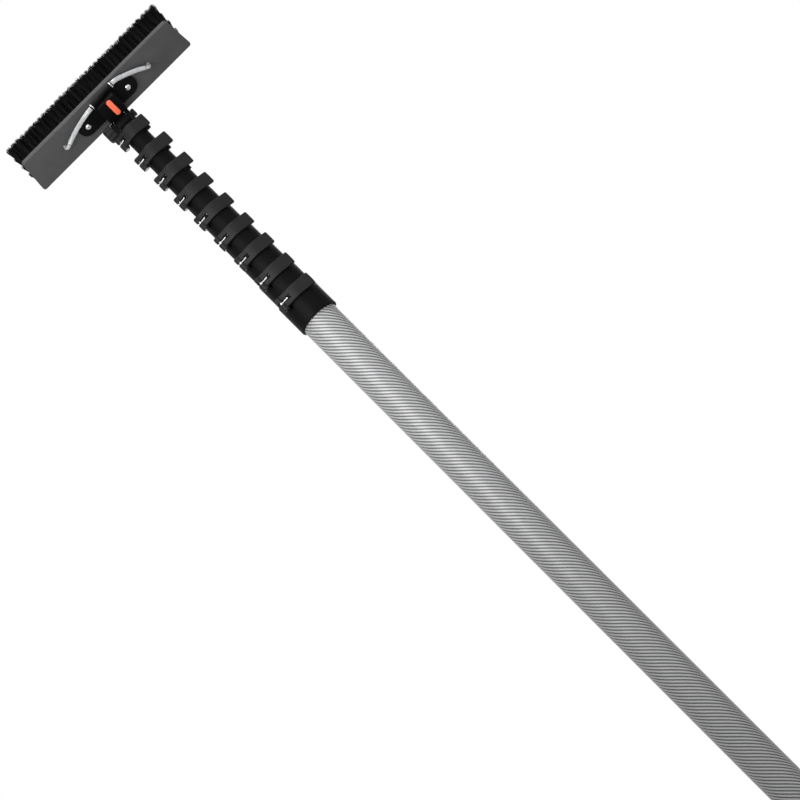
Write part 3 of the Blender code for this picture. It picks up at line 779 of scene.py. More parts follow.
@dataclass(frozen=True)
class ClearHose(Finish):
    """Clear vinyl: milky outer wall, glossy skin, and a bore painted dark as painted shade, which shows
    through it.
    """

    level: float = 0.66
    opacity: float = 0.62
    painted_bore_shade: float = 0.10
    cloud_cells: float = 130.0
    fine_cells: float = 900.0

    def mix_on(self, desk: Desk) -> None:
        """Soft noise clouds the wall, a fine one breaks its gloss, and an attribute marks the bore, which
        is painted dark and more opaque as painted shade.

        Args:
            desk: Where the nodes go.
        """
        spot = desk.place()
        cloud = desk.noise(spot, self.cloud_cells, 3.0)
        fine = desk.noise(spot, self.fine_cells)
        bore = desk.attribute("bore")
        wall = desk.mix(cloud, grey(self.level * 0.85, -0.02), grey(self.level * 1.2, -0.01))
        desk.dress({
            # The bore's points are painted dark: painted shade along the middle of the hose and jet.
            "Base Color": desk.mix(bore, wall, grey(self.painted_bore_shade, -0.03)),
            "Roughness": 0.10 + 0.14 * fine,
            "Alpha": self.opacity - 0.08 + 0.16 * cloud + 0.2 * bore,
            "Coat Weight": 0.5 + 0.3 * fine,
            "Coat Roughness": 0.06,
        })


class Looks(Enum):
    """The part's finishes."""

    TUBE = TwillTube("carbon_silver")
    COLLAR = Moulding("collar_black", (0.0030, 0.0030, 0.0032), roughness=0.46, grain=0.45 * MM,
                      relief=0.10, rub=0.10, gloss=0.045)
    LEVER = Moulding("lever_black", (0.0085, 0.0085, 0.0090), roughness=0.46, grain=0.60 * MM,
                     relief=0.12, rub=0.20, gloss=0.14)
    STEEL = BrightSteel("bright_steel")
    RUBBER = CapRubber("cap_rubber")
    STOCK = Moulding("stock_grey", (0.059, 0.059, 0.061), roughness=0.56, grain=0.70 * MM,
                     relief=0.16, rub=0.10, gloss=0.22)
    BRISTLE = BristleNylon("bristle_black")
    # The button's emission is a painted glow that makes it look brighter, though it is no lamp.
    BUTTON = Moulding("button_orange", (0.88, 0.155, 0.075), roughness=0.36, grain=0.60 * MM,
                      relief=0.06, rub=0.05, gloss=0.35, painted_glow=0.13)
    HOSE = ClearHose("clear_hose")


def settle(piece: bpy.types.Object, look: Looks, body: str, *nodes: str) -> None:
    """Dress a finished piece and tie it to the frame.

    Args:
        piece: The piece, in place.
        look: Its finish.
        body: The body that carries it.
        nodes: The solids that it stands for.
    """
    mesh = piece.data
    mesh.name = piece.name
    mesh.materials.clear()
    mesh.materials.append(look.value.material())
    mesh.shade_smooth()
    mesh.set_sharp_from_angle(angle=SHARP_ANGLE)
    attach(piece, body)
    if nodes:
        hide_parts(*nodes)
    LOG.info("%s rides on %s: %d faces", piece.name, body, len(mesh.polygons))


def section_body(number: int) -> str:
    """Body of a tube section, numbered 1 at the butt to 10 at the tip."""
    return {1: "base", SECTIONS: "tip"}.get(number, f"section_{number}")


@dataclass
class PoleTubes:
    """Ten nested twill tubes, and the rubber cap in the butt with its hose hole."""

    wall: float = 1.3 * MM
    rim: float = 0.3 * MM
    sides: int = 144
    plug_gap: float = 0.3 * MM
    plug_lead: float = 1.5 * MM
    flange: float = 8.0 * MM
    flange_lip: float = 2.4 * MM
    flange_edge: float = 1.2 * MM
    foot_edge: float = 2.2 * MM
    hole: float = 6.5 * MM
    hole_edge: float = 1.2 * MM
    ribs: int = 3
    rib: float = 0.7 * MM
    rib_points: int = 19
    groove_levels: tuple[float, float] = (14.0 * MM, 22.0 * MM)
    groove_depth: float = 0.6 * MM
    groove_width: float = 2.0 * MM

    def build(self) -> None:
        """Make each tube over its solid, then the cap."""
        for number in range(1, SECTIONS + 1):
            node = {1: "base_tube", SECTIONS: "tip_tube"}.get(number, f"section_tube_{number}")
            self.tube(node, section_body(number))
        self.cap()

    def tube(self, node: str, body: str) -> None:
        """Turn a wall between the solid's ends, with its four rims rounded.

        Args:
            node: The tube's solid.
            body: The body that carries it.
        """
        low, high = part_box(node)
        inner = high.x - self.wall
        loop = ((high.x, low.z), (high.x, high.z), (inner, high.z), (inner, low.z))
        shape = turned(eased(loop, self.rim, 3), self.sides, hollow=True)
        settle(new_piece(f"twill_{node}", shape), Looks.TUBE, body, node)

    def cap(self) -> None:
        """Turn the bung: a ribbed flange below the tube, a plug with two grooves in it, and the hole.

        The flange's radius falls by the rib's depth times the squared sine of the way up.
        """
        low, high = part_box("base_cap")
        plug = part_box("base_tube")[1].x - self.wall - self.plug_gap
        lip = self.flange_lip
        corners = ((self.hole, low.z), (high.x, low.z), (high.x, lip), (self.hole, lip))
        foot = eased(corners, (self.hole_edge, self.foot_edge, 0.0, 0.0), 4)[:10]
        way = np.linspace(0, 1, self.rib_points)
        level = np.linspace(lip, self.flange - self.flange_edge, self.rib_points)
        ribs = np.stack([high.x - self.rib * np.sin(self.ribs * math.pi * way) ** 2, level], axis=-1)
        depth, step = self.groove_depth, self.groove_width / 4
        grooves = [(plug - sunk, start + rise) for start in self.groove_levels
                   for sunk, rise in ((0, 0), (depth, step), (depth, 3 * step), (0, 4 * step))]
        rest = [(plug, self.flange), *grooves, (plug - self.plug_lead, high.z), (self.hole, high.z)]
        shape = turned(np.concatenate([foot, ribs, np.array(rest)]), FINE_SIDES, hollow=True)
        settle(new_piece("butt_cap", shape), Looks.RUBBER, "base", "base_cap")


@dataclass
class Clamp:
    """One lever clamp, laid out in plan from its lever's pin: collar, tension bolt and lever."""

    number: int
    pin: np.ndarray
    collar: float
    foot: float
    top: float
    lug_reach: float
    tab_reach: float
    collar_sides: int = 120
    collar_rims: tuple[float, ...] = (1.3 * MM, 1.3 * MM, 0.6 * MM, 0.2 * MM, 0.2 * MM, 0.5 * MM)
    sleeve_wall: float = 2.7 * MM
    tube_step: float = 1.75 * MM
    jaw_foot: float = -15.0 * MM
    slit_width: float = 2.0 * MM
    slit_foot: float = -13.0 * MM
    slit_from_boss: float = 10.5 * MM
    lug_front: float = -7.5 * MM
    lug_back: float = -1.0 * MM
    lug_top: float = -6.5 * MM
    lug_foot: float = -10.7 * MM
    lug_corner: float = 1.2 * MM
    lug_edge: float = 0.8 * MM
    lug_least: float = 1.0 * MM
    pin_radius: float = 2.0 * MM
    pin_edge: float = 0.4 * MM
    pin_clearance: float = 0.25 * MM
    pin_top: float = 8.9 * MM
    pin_foot: float = 11.8 * MM
    pin_head_radius: float = 3.3 * MM
    pin_head: float = 1.0 * MM
    pin_head_edge: float = 0.35 * MM
    gap: float = 0.3 * MM
    bolt_standoff: float = 3.0 * MM
    bolt_radius: float = 1.5 * MM
    thread_pitch: float = 0.8 * MM
    thread_relief: float = 0.32 * MM
    thread_points: int = 90
    thread_sides: int = 20
    boss_start: float = -5.4 * MM
    boss_end: float = -1.0 * MM
    boss_half_width: float = 2.2 * MM
    boss_depth: float = 4.5 * MM
    boss_rise: float = 2.2 * MM
    boss_corner: float = 0.9 * MM
    boss_edge: float = 0.6 * MM
    lever_half_width: float = 9.0 * MM
    lever_gap: float = 0.9 * MM
    lever_thickness: float = 3.5 * MM
    lever_edge: float = 1.3 * MM
    lever_crown: float = 0.25 * MM
    lobe_radius: float = 4.7 * MM
    lobe_sides: int = 64
    lobe_foot: float = 12.0 * MM
    lobe_drop: float = 0.1 * MM
    lobe_rise: float = 6.5 * MM
    lobe_taper: float = 0.45
    fork_half_slot: float = 1.9 * MM
    fork_clearance: float = 0.6 * MM
    boss_half_slot: float = 2.7 * MM
    boss_swing: float = 1.6 * MM
    tab_steps: int = 60
    front_steps: int = 12
    bead_steps: int = 18
    tab_bead: float = 2.6 * MM
    tab_setback: float = 11.0 * MM
    tab_standoff: float = 5.0 * MM
    ribs: int = 3
    rib_start: float = 0.35
    rib_share: float = 0.6
    rib_depth: float = 0.3 * MM
    rib_bluntness: float = 25.0

    @classmethod
    def from_frame(cls, number: int, joints: Sequence[dict[str, Any]]) -> Clamp:
        """Read a clamp's pin from its lever's joint, and its collar, lug and tab from the solids' boxes.

        Args:
            number: Number of the clamp, from the butt.
            joints: The frame's joints.

        Returns:
            The clamp.
        """
        joint = next(item for item in joints if item["name"] == f"lever_turn_{number}")
        low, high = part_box(f"clamp_collar_{number}")
        pin = np.array(joint["pos_m"])
        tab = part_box(f"clamp_lever_{number}")[1].x
        return cls(number, pin, high.y, low.z - pin[2], high.z - pin[2], high.x, tab)

    @property
    def pin_circle(self) -> float:
        """Distance of the pin from the pole's axis."""
        return float(np.hypot(self.pin[0], self.pin[1]))

    @property
    def pin_angle(self) -> float:
        """Direction of the pin from the pole's axis."""
        return math.atan2(self.pin[1], self.pin[0])

    @property
    def boss_angle(self) -> float:
        """Direction of the point where the bolt touches its circle."""
        return self.pin_angle + math.acos((self.collar + self.bolt_standoff) / self.pin_circle)

    @property
    def reach(self) -> float:
        """Length of the bolt from the pin to that point."""
        return math.sqrt(self.pin_circle ** 2 - (self.collar + self.bolt_standoff) ** 2)

    def bolt_axes(self) -> np.ndarray:
        """Frame of the tension bolt: along it, out from the pole, and up."""
        c, s = math.cos(self.boss_angle), math.sin(self.boss_angle)
        return np.array(((-s, c, 0.0), (c, s, 0.0), (0.0, 0.0, -1.0)))

    def on_bolt(self, shape: Shape) -> Shape:
        """Carry a shape from the bolt's frame, with the touching point as origin, to the pole."""
        axes = self.bolt_axes()
        return shape.placed(axes, self.pin + self.reach * axes[0])

    def build(self) -> None:
        """Make the clamp's three pieces."""
        self.make_collar()
        self.make_bolt()
        self.make_lever()

    def make_collar(self) -> None:
        """Turn sleeve and jaw as one profile, join boss and lug on, and cut bolt hole and slit."""
        number = self.number
        sleeve = self.collar - self.sleeve_wall
        jaw = sleeve - self.tube_step
        loop = ((self.collar, self.foot), (self.collar, self.top), (jaw, self.top),
                (jaw, self.jaw_foot), (sleeve, self.jaw_foot), (sleeve, self.foot))
        shape = turned(eased(loop, self.collar_rims, 5), self.collar_sides, hollow=True)
        piece = new_piece(f"collar_{number}", shape.raised(self.pin[2]))
        carve(piece, self.boss(), Join.ADD)
        if self.lug_reach > self.collar + self.lug_least:
            carve(piece, self.lug(jaw), Join.ADD)
        hole = rod(self.bolt_radius + self.gap, (-self.reach, 0, 0), (0, 0, 0), COARSE_SIDES)
        carve(piece, self.on_bolt(hole), Join.CUT)
        carve(piece, self.slit(jaw), Join.CUT)
        settle(piece, Looks.COLLAR, section_body(number), f"clamp_collar_{number}")

    def boss(self) -> Shape:
        """Block on the collar that holds the bolt's end.

        Returns:
            The rounded block, in place.
        """
        half = (self.boss_depth + self.boss_rise) / 2
        middle = (self.boss_start + self.boss_end) / 2
        outline = round_box(self.boss_end - middle, half, self.boss_corner, (middle, self.boss_rise - half))
        width = self.boss_half_width
        return self.on_bolt(rounded_slab(outline, -width, width, self.boss_edge))

    def lug(self, jaw: float) -> Shape:
        """Stop under the tab: a rounded block from inside the wall out to the lug's reach.

        Args:
            jaw: Inner radius of the jaw.

        Returns:
            The block, in place.
        """
        start = (self.collar + jaw) / 2
        half = np.array((self.lug_reach - start, self.lug_back - self.lug_front)) / 2
        outline = round_box(*half, self.lug_corner, (start + half[0], self.lug_front + half[1]))
        return rounded_slab(outline, self.lug_foot, self.lug_top, self.lug_edge).raised(self.pin[2])

    def slit(self, jaw: float) -> Shape:
        """What is cut out of the jaw's wall beside the boss, so that it can close.

        Args:
            jaw: Inner radius of the jaw.

        Returns:
            The block, in place.
        """
        width = self.slit_width
        low = (jaw - width, -width / 2, self.slit_foot)
        high = (self.collar + width, width / 2, self.top + width)
        turn = self.boss_angle - self.slit_from_boss / self.collar
        c, s = math.cos(turn), math.sin(turn)
        return block(low, high).placed(np.array(((c, s, 0), (-s, c, 0), (0, 0, 1))), (0, 0, self.pin[2]))

    def make_bolt(self) -> None:
        """Cross pin with a flat head, and a threaded shank whose radius is a sawtooth of the length."""
        foot = self.pin - self.pin_foot * UP
        face, end = foot + self.pin_head * UP, self.pin + self.pin_top * UP
        head = rod(self.pin_head_radius, foot, face, ROUND_SIDES, self.pin_head_edge)
        pin = rod(self.pin_radius, foot + self.pin_head / 2 * UP, end, edge=self.pin_edge)
        length = np.linspace(-self.reach, self.boss_end, self.thread_points)
        tooth = np.abs(length / self.thread_pitch % 1.0 - 0.5) * self.thread_relief
        profile = np.stack([self.bolt_radius - tooth, length], axis=-1)
        thread = turned(profile, self.thread_sides, hollow=False)
        along = np.array(((0.0, 0.0, 1.0), (0.0, 1.0, 0.0), (1.0, 0.0, 0.0)))
        shank = self.on_bolt(thread.placed(along, (0, 0, 0)))
        piece = new_piece(f"tension_bolt_{self.number}", merged([pin, head, shank]))
        settle(piece, Looks.STEEL, section_body(self.number), f"clamp_bolt_{self.number}")

    def ribbed(self, start: np.ndarray, end: np.ndarray, out: np.ndarray) -> np.ndarray:
        """Straight line with finger ribs in its outer part, each a squared sine of the way along it.

        The depth goes with the square of the ribs' pitch where they are fine, so that their crests stay
        blunter than the lever's rims.

        Args:
            start: First end of the line.
            end: Last end of the line.
            out: Direction in which the ribs stand.

        Returns:
            The line without its ends, as (n, 2).
        """
        way = np.linspace(0, 1, self.tab_steps + 1)[1:-1, None]
        along = np.clip((way - self.rib_start) / self.rib_share, 0, 1)
        ribs = np.sin(math.pi * self.ribs * along) ** 2
        pitch = self.rib_share / self.ribs * np.linalg.norm(end - start)
        depth = min(self.rib_depth, self.rib_bluntness * pitch ** 2)
        return start + way * (end - start) + depth * ribs * out

    def lever_outline(self) -> np.ndarray:
        """Plan of the lever: round root that tapers from the pin, band, ribbed tab and round bead.

        The band's outer radius is its plain one plus the lobe's rise times the square of what is left
        of the taper. The tab is the straight line that touches the band and ends in the bead.

        Returns:
            The closed plan as (n, 2).
        """
        inner = self.collar + self.lever_gap
        outer = inner + self.lever_thickness
        tip_x = self.tab_reach - self.tab_bead
        bulge = max(0.0, (self.collar + self.tab_standoff) ** 2 - tip_x ** 2)
        tip = np.array((tip_x, -math.sqrt(self.tab_setback ** 2 + bulge)))
        leave = math.atan2(tip[1], tip[0]) - math.acos((inner + outer) / 2 / np.linalg.norm(tip))
        part = np.linspace(0, 1, ROUND_SIDES + 1)
        turn = self.pin_angle + (leave - self.pin_angle) * part
        radius = outer + self.lobe_rise * np.maximum(0, 1 - part / self.lobe_taper) ** 2
        outside = radius[:, None] * rays(turn)
        out = np.array((math.cos(leave), math.sin(leave)))
        bead = arc(tip, self.tab_bead, leave, leave + math.pi, self.bead_steps)
        inside = arc((0, 0), inner, leave, self.pin_angle, self.tab_steps)
        way = np.linspace(0, 1, self.front_steps + 1)[1:-1, None]
        front = outside[-1] + way * (bead[0] - outside[-1])
        back = self.ribbed(inside[0], bead[-1], -out)[::-1]
        root = arc((outside[0] + inside[-1]) / 2, (self.lobe_rise + self.lever_thickness) / 2,
                   self.pin_angle + math.pi, self.pin_angle + FULL_TURN, COARSE_SIDES)
        return np.concatenate([outside, front, bead, back, inside, root[1:-1]])

    def fork(self) -> Shape:
        """Slot for the bolt with a wider part for the boss, carried across the lever.

        Returns:
            The slot, in the bolt's frame.
        """
        start = -self.reach - 2 * self.lobe_radius
        step = self.boss_start - self.boss_swing
        end = self.boss_end + self.fork_clearance
        upper = ((end, self.boss_half_slot), (step, self.boss_half_slot), (step, self.fork_half_slot),
                 (start, self.fork_half_slot))
        lower = tuple((along, -half) for along, half in reversed(upper))
        sideways = np.array(((1.0, 0.0, 0.0), (0.0, 0.0, 1.0), (0.0, -1.0, 0.0)))
        slot = prism(np.array(upper + lower), -3 * self.lobe_radius, 2 * self.lobe_radius)
        return slot.placed(sideways, (0, 0, 0))

    def make_lever(self) -> None:
        """Carry the plan over the lever's width, join the lobe on, and cut the fork and the pin's hole."""
        half = self.lever_half_width
        foot = self.pin - self.lobe_foot * UP
        band = rounded_slab(self.lever_outline(), -half, half, self.lever_edge, self.lever_crown)
        piece = new_piece(f"lever_{self.number}", band.raised(self.pin[2]))
        top = self.pin + (half - self.lobe_drop) * UP
        carve(piece, rod(self.lobe_radius, foot, top, self.lobe_sides, self.lever_edge), Join.ADD)
        carve(piece, self.on_bolt(self.fork()), Join.CUT)
        below = foot - half * UP
        carve(piece, rod(self.pin_radius + self.pin_clearance, below, self.pin + 2 * half * UP), Join.CUT)
        seat = self.pin - (self.pin_foot - self.pin_head - self.gap) * UP
        carve(piece, rod(self.pin_head_radius + self.gap, below, seat, ROUND_SIDES), Join.CUT)
        settle(piece, Looks.LEVER, f"lever_{self.number}", f"clamp_lever_{self.number}")


def solid_profile(corners: Sequence[Sequence[float]], radius: Sequence[float],
                  steps: int = 4) -> np.ndarray:
    """Round the corners of a profile that runs from the axis out and back to it.

    Args:
        corners: Corners as (radius, height) pairs, without the two points on the axis.
        radius: Rounding of each corner.
        steps: Pieces of each rounding.

    Returns:
        The open profile, ready to be turned and capped.
    """
    loop = [(0.0, corners[0][1]), *corners, (0.0, corners[-1][1])]
    curve = eased(loop, np.array((0.0, *radius, 0.0)), steps)
    return curve[steps + 1:-(steps + 1)]


@dataclass
class Neck:
    """Neck in the tip tube with two cheeks, the tilt bolt through them, and its fluted knob."""

    pivot: np.ndarray
    tube_wall: float = 1.3 * MM
    gap: float = 0.3 * MM
    close: float = 0.05 * MM
    neck_rims: tuple[float, ...] = (1.0 * MM, 0.2 * MM, 0.6 * MM, 1.4 * MM)
    shoulder_radius: float = 15.4 * MM
    shoulder: float = 1.7 * MM
    cheek_radius: float = 9.4 * MM
    cheek_inner: float = 10.0 * MM
    cheek_outer: float = 16.0 * MM
    cheek_edge: float = 0.9 * MM
    bolt_radius: float = 3.0 * MM
    bolt_end: float = -26.0 * MM
    bolt_edge: float = 0.5 * MM
    head_radius: float = 5.6 * MM
    head_length: float = 5.0 * MM
    head_foot: float = 0.4 * MM
    head_edge: float = 0.7 * MM
    head_ring: float = 0.15 * MM
    head_shares: tuple[float, ...] = (0.78, 0.82, 0.72, 0.70)
    knob_radius: float = 10.8 * MM
    knob_end: float = -29.5 * MM
    knob_edges: tuple[float, float] = (4.0 * MM, 0.4 * MM)
    knob_sides: int = 144
    knob_lobes: int = 6
    knob_flute: float = 1.2 * MM
    dish_levels: tuple[float, ...] = (0.9 * MM, 0.9 * MM, 0.1 * MM)
    dish_insets: tuple[float, ...] = (5.6 * MM, 5.1 * MM, 4.5 * MM)

    def build(self) -> None:
        """Make the neck, the bolt and the knob."""
        self.make_neck()
        self.make_bolt()
        self.make_knob()

    def make_neck(self) -> None:
        """Turn spigot and shoulder as one profile, join two round-topped cheeks on, and bore them."""
        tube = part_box("tip_tube")[1]
        spigot = tube.x - self.tube_wall - self.gap
        foot = tube.z + self.gap
        top = foot + self.shoulder
        corners = ((spigot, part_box("neck")[0].z), (spigot, foot), (self.shoulder_radius, foot),
                   (self.shoulder_radius, top))
        profile = solid_profile(corners, self.neck_rims)
        piece = new_piece("neck_fork", turned(profile, FINE_SIDES, hollow=False))
        root = top - self.shoulder / 2
        crest = arc((0, self.pivot[2]), self.cheek_radius, 0, math.pi, ROUND_SIDES)
        outline = np.concatenate([crest, ((-self.cheek_radius, root), (self.cheek_radius, root))])
        for low, high in ((-self.cheek_outer, -self.cheek_inner), (self.cheek_inner, self.cheek_outer)):
            cheek = rounded_slab(outline, low, high, self.cheek_edge)
            carve(piece, cheek.placed(ACROSS, (0, 0, 0)), Join.ADD)
        reach = np.array((2 * self.cheek_outer, 0, 0))
        bore = rod(self.bolt_radius + self.gap, self.pivot - reach, self.pivot + reach, ROUND_SIDES)
        carve(piece, bore, Join.CUT)
        settle(piece, Looks.COLLAR, "tip", "neck")

    def make_bolt(self) -> None:
        """Plain shank along X, and a hexagon head with its corners turned off."""
        start = self.cheek_outer + self.close
        end = (start + self.gap, 0, 0)
        shank = rod(self.bolt_radius, (self.bolt_end, 0, 0), end, ROUND_SIDES, self.bolt_edge)
        r, length = self.head_radius, self.head_length
        foot, crest, ring, face = (share * r for share in self.head_shares)
        groove = length - self.head_ring
        profile = ((foot, 0), (r, self.head_foot), (r, length - self.head_edge), (crest, groove),
                   (ring, groove), (face, length))
        head = turned(profile, 6, hollow=False).raised(start)
        shapes = [shank, head.placed(ACROSS, (0, 0, 0))]
        piece = new_piece("tilt_bolt", merged(shapes).placed(np.eye(3), self.pivot))
        settle(piece, Looks.LEVER, "tip", "pivot_bolt")

    def make_knob(self) -> None:
        """Fluted knob: its radius falls by half the flute times one less the cosine of six turns.

        Rows with an inset at one level make the shallow dish in its end.
        """
        turn = np.arange(self.knob_sides) * FULL_TURN / self.knob_sides
        radius = self.knob_radius - self.knob_flute * (1 - np.cos(self.knob_lobes * turn)) / 2
        outline = radius[:, None] * rays(turn)
        ends = (self.knob_end, -self.cheek_outer - self.close)
        outer, inner = (np.array(round_ends(*ends, edge, 0.0, 8)) for edge in self.knob_edges)
        half = outer.shape[1] // 2
        level, inset = np.concatenate([outer[:, :half], inner[:, half:]], axis=1)
        level = np.concatenate([self.knob_end + np.array(self.dish_levels), level])
        inset = np.concatenate([self.dish_insets, inset])
        piece = new_piece("tilt_knob", slab(outline, level, inset).placed(ACROSS, self.pivot))
        end = self.pivot + (self.bolt_end - self.gap, 0, 0)
        carve(piece, rod(self.bolt_radius + self.gap, end, self.pivot, ROUND_SIDES), Join.CUT)
        settle(piece, Looks.LEVER, "tip", "pivot_knob")


@dataclass
class OnHead:
    """What the brush head's sub-assemblies share: the head's own frame, and where they meet.

    X runs along the brush, the second axis down the stock's back, and the third along the bristles,
    with the tilt bolt at the origin.
    """

    pivot: np.ndarray
    axes: np.ndarray
    gap: float = 0.3 * MM
    stock_back: float = 25.0 * MM
    stock_middle: float = -21.0 * MM
    screw_spacing: float = 72.0 * MM
    screw_radius: float = 2.0 * MM
    tee: np.ndarray = field(default_factory=lambda: np.array((3.5, -44.4, 12.8)) * MM)
    inlet_radius: float = 2.5 * MM
    inlet_end: float = -36.5 * MM
    jet_x: float = 75.5 * MM
    jet_radius: float = 2.6 * MM

    def on_head(self, shape: Shape) -> Shape:
        """Carry a shape from the head's frame to the pole's."""
        return shape.placed(self.axes, self.pivot)

    def piece(self, name: str, shape: Shape) -> bpy.types.Object:
        """New piece from a shape in the head's frame."""
        return new_piece(name, self.on_head(shape))

    def cut(self, piece: bpy.types.Object, shape: Shape) -> None:
        """Cut a shape in the head's frame out of a piece."""
        carve(piece, self.on_head(shape), Join.CUT)

    def add(self, piece: bpy.types.Object, shape: Shape) -> None:
        """Join a shape in the head's frame on to a piece."""
        carve(piece, self.on_head(shape), Join.ADD)

    def drill(self, piece: bpy.types.Object, radius: float, x: float, depth: float) -> None:
        """Drill a hole with some clearance into a piece, from the front on the stock's middle line.

        Args:
            piece: The piece.
            radius: Radius of what goes into the hole.
            x: Place along the brush.
            depth: Level of the hole's end.
        """
        start, end = ((x, self.stock_middle, level) for level in (0, depth))
        self.cut(piece, rod(radius + self.gap, start, end))


@dataclass
class Bracket(OnHead):
    """Bracket on the stock's back with its screws, the swivel in its socket, and the release button."""

    plate_front: float = 20.4 * MM
    plate_edge: float = 0.9 * MM
    ear_radius: float = 14.0 * MM
    block_left: float = -13.0 * MM
    block_right: float = 17.5 * MM
    block_top: float = -40.6 * MM
    block_corner: float = 2.4 * MM
    block_edge: float = 1.3 * MM
    mouth: float = -9.6 * MM
    lip_foot: float = -8.2 * MM
    lip_depth: float = 4.5 * MM
    lip_bore: float = 9.48 * MM
    front: float = 2.0 * MM
    arm_top: float = -6.0 * MM
    arm_foot: float = 3.0 * MM
    arm_corner: float = 1.2 * MM
    arm_edge: float = 0.7 * MM
    tongue_half: float = 7.0 * MM
    tongue_end: float = -31.5 * MM
    tongue_front: float = 11.0 * MM
    tongue_back: float = 18.3 * MM
    hub_radius: float = 9.35 * MM
    hub_half: float = 9.95 * MM
    hub_edge: float = 0.8 * MM
    hub_sides: int = 72
    bolt_radius: float = 3.0 * MM
    button_x: float = 4.5 * MM
    button_top: float = -39.15 * MM
    button_foot: float = -12.65 * MM
    button_half: float = 3.8 * MM
    button_proud: float = 1.5 * MM
    button_back: float = 5.4 * MM
    button_edge: float = 1.3 * MM
    button_crown: float = 0.25 * MM
    button_roundness: float = 0.85
    pocket_margin: float = 0.6 * MM
    pocket_corner: float = 3.8 * MM
    pocket_floor: float = 8.0 * MM
    spring_radius: float = 2.6 * MM
    spring_wire: float = 0.35 * MM
    wire_sides: int = 10
    spring_turns: int = 2
    spring_keep: float = 0.2
    screw_sides: int = 48
    screw_head_radius: float = 4.2 * MM
    screw_head: float = 2.6 * MM
    screw_depth: float = 6.0 * MM
    screw_taper: float = 1.0 * MM
    screw_tip: float = 0.4 * MM
    dome_share: float = 0.62
    dome_rims: tuple[float, ...] = (1.2 * MM, 0.9 * MM, 0.2 * MM)
    recess_shares: tuple[float, ...] = (0.50, 0.52, 0.58)
    recess_depths: tuple[float, ...] = (1.5 * MM, 0.15 * MM, 0.0)
    recess_core: float = 0.45

    def build(self) -> None:
        """Make the swivel, the bracket, its screws, the button and its spring."""
        self.make_swivel()
        self.make_bracket()
        self.make_screws()
        self.make_button()
        self.make_spring()

    def make_swivel(self) -> None:
        """Carry the arm's side view across the head, join the hub on, and bore it."""
        top, foot = self.arm_top, self.arm_foot
        corners = ((top, 0), (foot, 0), (foot, self.tongue_back), (self.tongue_end, self.tongue_back),
                   (self.tongue_end, self.tongue_front), (top, self.tongue_front))
        outline = eased(corners, self.arm_corner)
        arm = rounded_slab(outline, -self.tongue_half, self.tongue_half, self.arm_edge)
        piece = self.piece("swivel_arm", arm.placed(ACROSS, (0, 0, 0)))
        half = self.hub_half
        self.add(piece, rod(self.hub_radius, (-half, 0, 0), (half, 0, 0), self.hub_sides, self.hub_edge))
        bore = rod(self.bolt_radius + self.gap, (-2 * half, 0, 0), (2 * half, 0, 0), ROUND_SIDES)
        self.cut(piece, bore)
        settle(piece, Looks.COLLAR, "head", "swivel")

    def make_bracket(self) -> None:
        """Eared plate and socket block as rounded slabs, joined, then hollowed for what goes in."""
        back = self.stock_back - self.gap
        half_length = self.screw_spacing / 2 + self.ear_radius
        ears = round_box(half_length, self.ear_radius, self.ear_radius - self.gap, (0, self.stock_middle))
        plate = rounded_slab(ears, self.plate_front, back, self.plate_edge)
        piece = self.piece("socket_bracket", plate)
        half = np.array((self.block_right - self.block_left, self.mouth - self.block_top)) / 2
        middle = (self.block_left + half[0], self.block_top + half[1])
        outline = round_box(*half, self.block_corner, middle)
        self.add(piece, rounded_slab(outline, self.front, back - self.gap, self.block_edge))
        inset = 3 * self.gap
        self.add(piece, block((self.block_left + inset, 1.5 * self.mouth, self.front + inset),
                              (self.block_right - inset, self.lip_foot, self.front + self.lip_depth)))
        across = np.array((2 * self.block_right, 0, 0))
        self.cut(piece, rod(self.lip_bore, -across, across, FINE_SIDES))
        wide = self.tongue_half + self.gap
        self.cut(piece, block((-wide, self.tongue_end - self.gap, self.tongue_front - self.gap),
                              (wide, 0, self.tongue_back + self.gap)))
        pocket = self.button_plan(self.pocket_margin, self.pocket_corner)
        self.cut(piece, prism(pocket, 0.0, self.pocket_floor))
        end = (self.tee[0], self.inlet_end + self.gap, self.tee[2])
        self.cut(piece, rod(self.inlet_radius + self.gap, self.tee, end))
        for side in (-1, 1):
            self.drill(piece, self.screw_radius, side * self.screw_spacing / 2, 2 * back)
        settle(piece, Looks.COLLAR, "head", "bracket")

    def make_screws(self) -> None:
        """Pan-head screws: a turned profile whose first rows sink a cross recess.

        The recess's radius is multiplied by its core, plus what is left to one times the fourth power
        of the cosine of two turns.
        """
        back = self.plate_front - self.gap
        front = back - self.screw_head
        r, share = self.screw_head_radius, self.dome_share
        corners = ((share * r, front), (r, front + share * self.screw_head), (r, back))
        dome = solid_profile(corners, self.dome_rims)
        recess = [(part * r, front + depth) for part, depth in zip(self.recess_shares, self.recess_depths)]
        end = self.stock_back + self.screw_depth - self.gap
        taper = end - self.screw_taper
        shank = ((self.screw_radius, back), (self.screw_radius, taper), (self.screw_tip, end))
        profile = np.concatenate([recess, dome, shank])
        turn = np.arange(self.screw_sides) * FULL_TURN / self.screw_sides
        lobes = np.ones((len(profile), self.screw_sides))
        lobes[:2] = self.recess_core + (1 - self.recess_core) * np.cos(2 * turn) ** 4
        screw = turned(profile, self.screw_sides, hollow=False, lobes=lobes)
        for side, name in ((-1, "left"), (1, "right")):
            shape = screw.placed(np.eye(3), (side * self.screw_spacing / 2, self.stock_middle, 0))
            settle(self.piece(f"pan_screw_{name}", shape), Looks.STEEL, "head", f"bracket_screw_{name}")

    @property
    def button_middle(self) -> np.ndarray:
        """Middle of the button in the stock's plane."""
        return np.array((self.button_x, (self.button_foot + self.button_top) / 2))

    def button_plan(self, margin: float, corner: float) -> np.ndarray:
        """Outline of the button with a margin all round.

        Args:
            margin: Width of the margin.
            corner: Radius of the corners.

        Returns:
            The outline as (n, 2).
        """
        half_length = (self.button_foot - self.button_top) / 2
        return round_box(self.button_half + margin, half_length + margin, corner, self.button_middle)

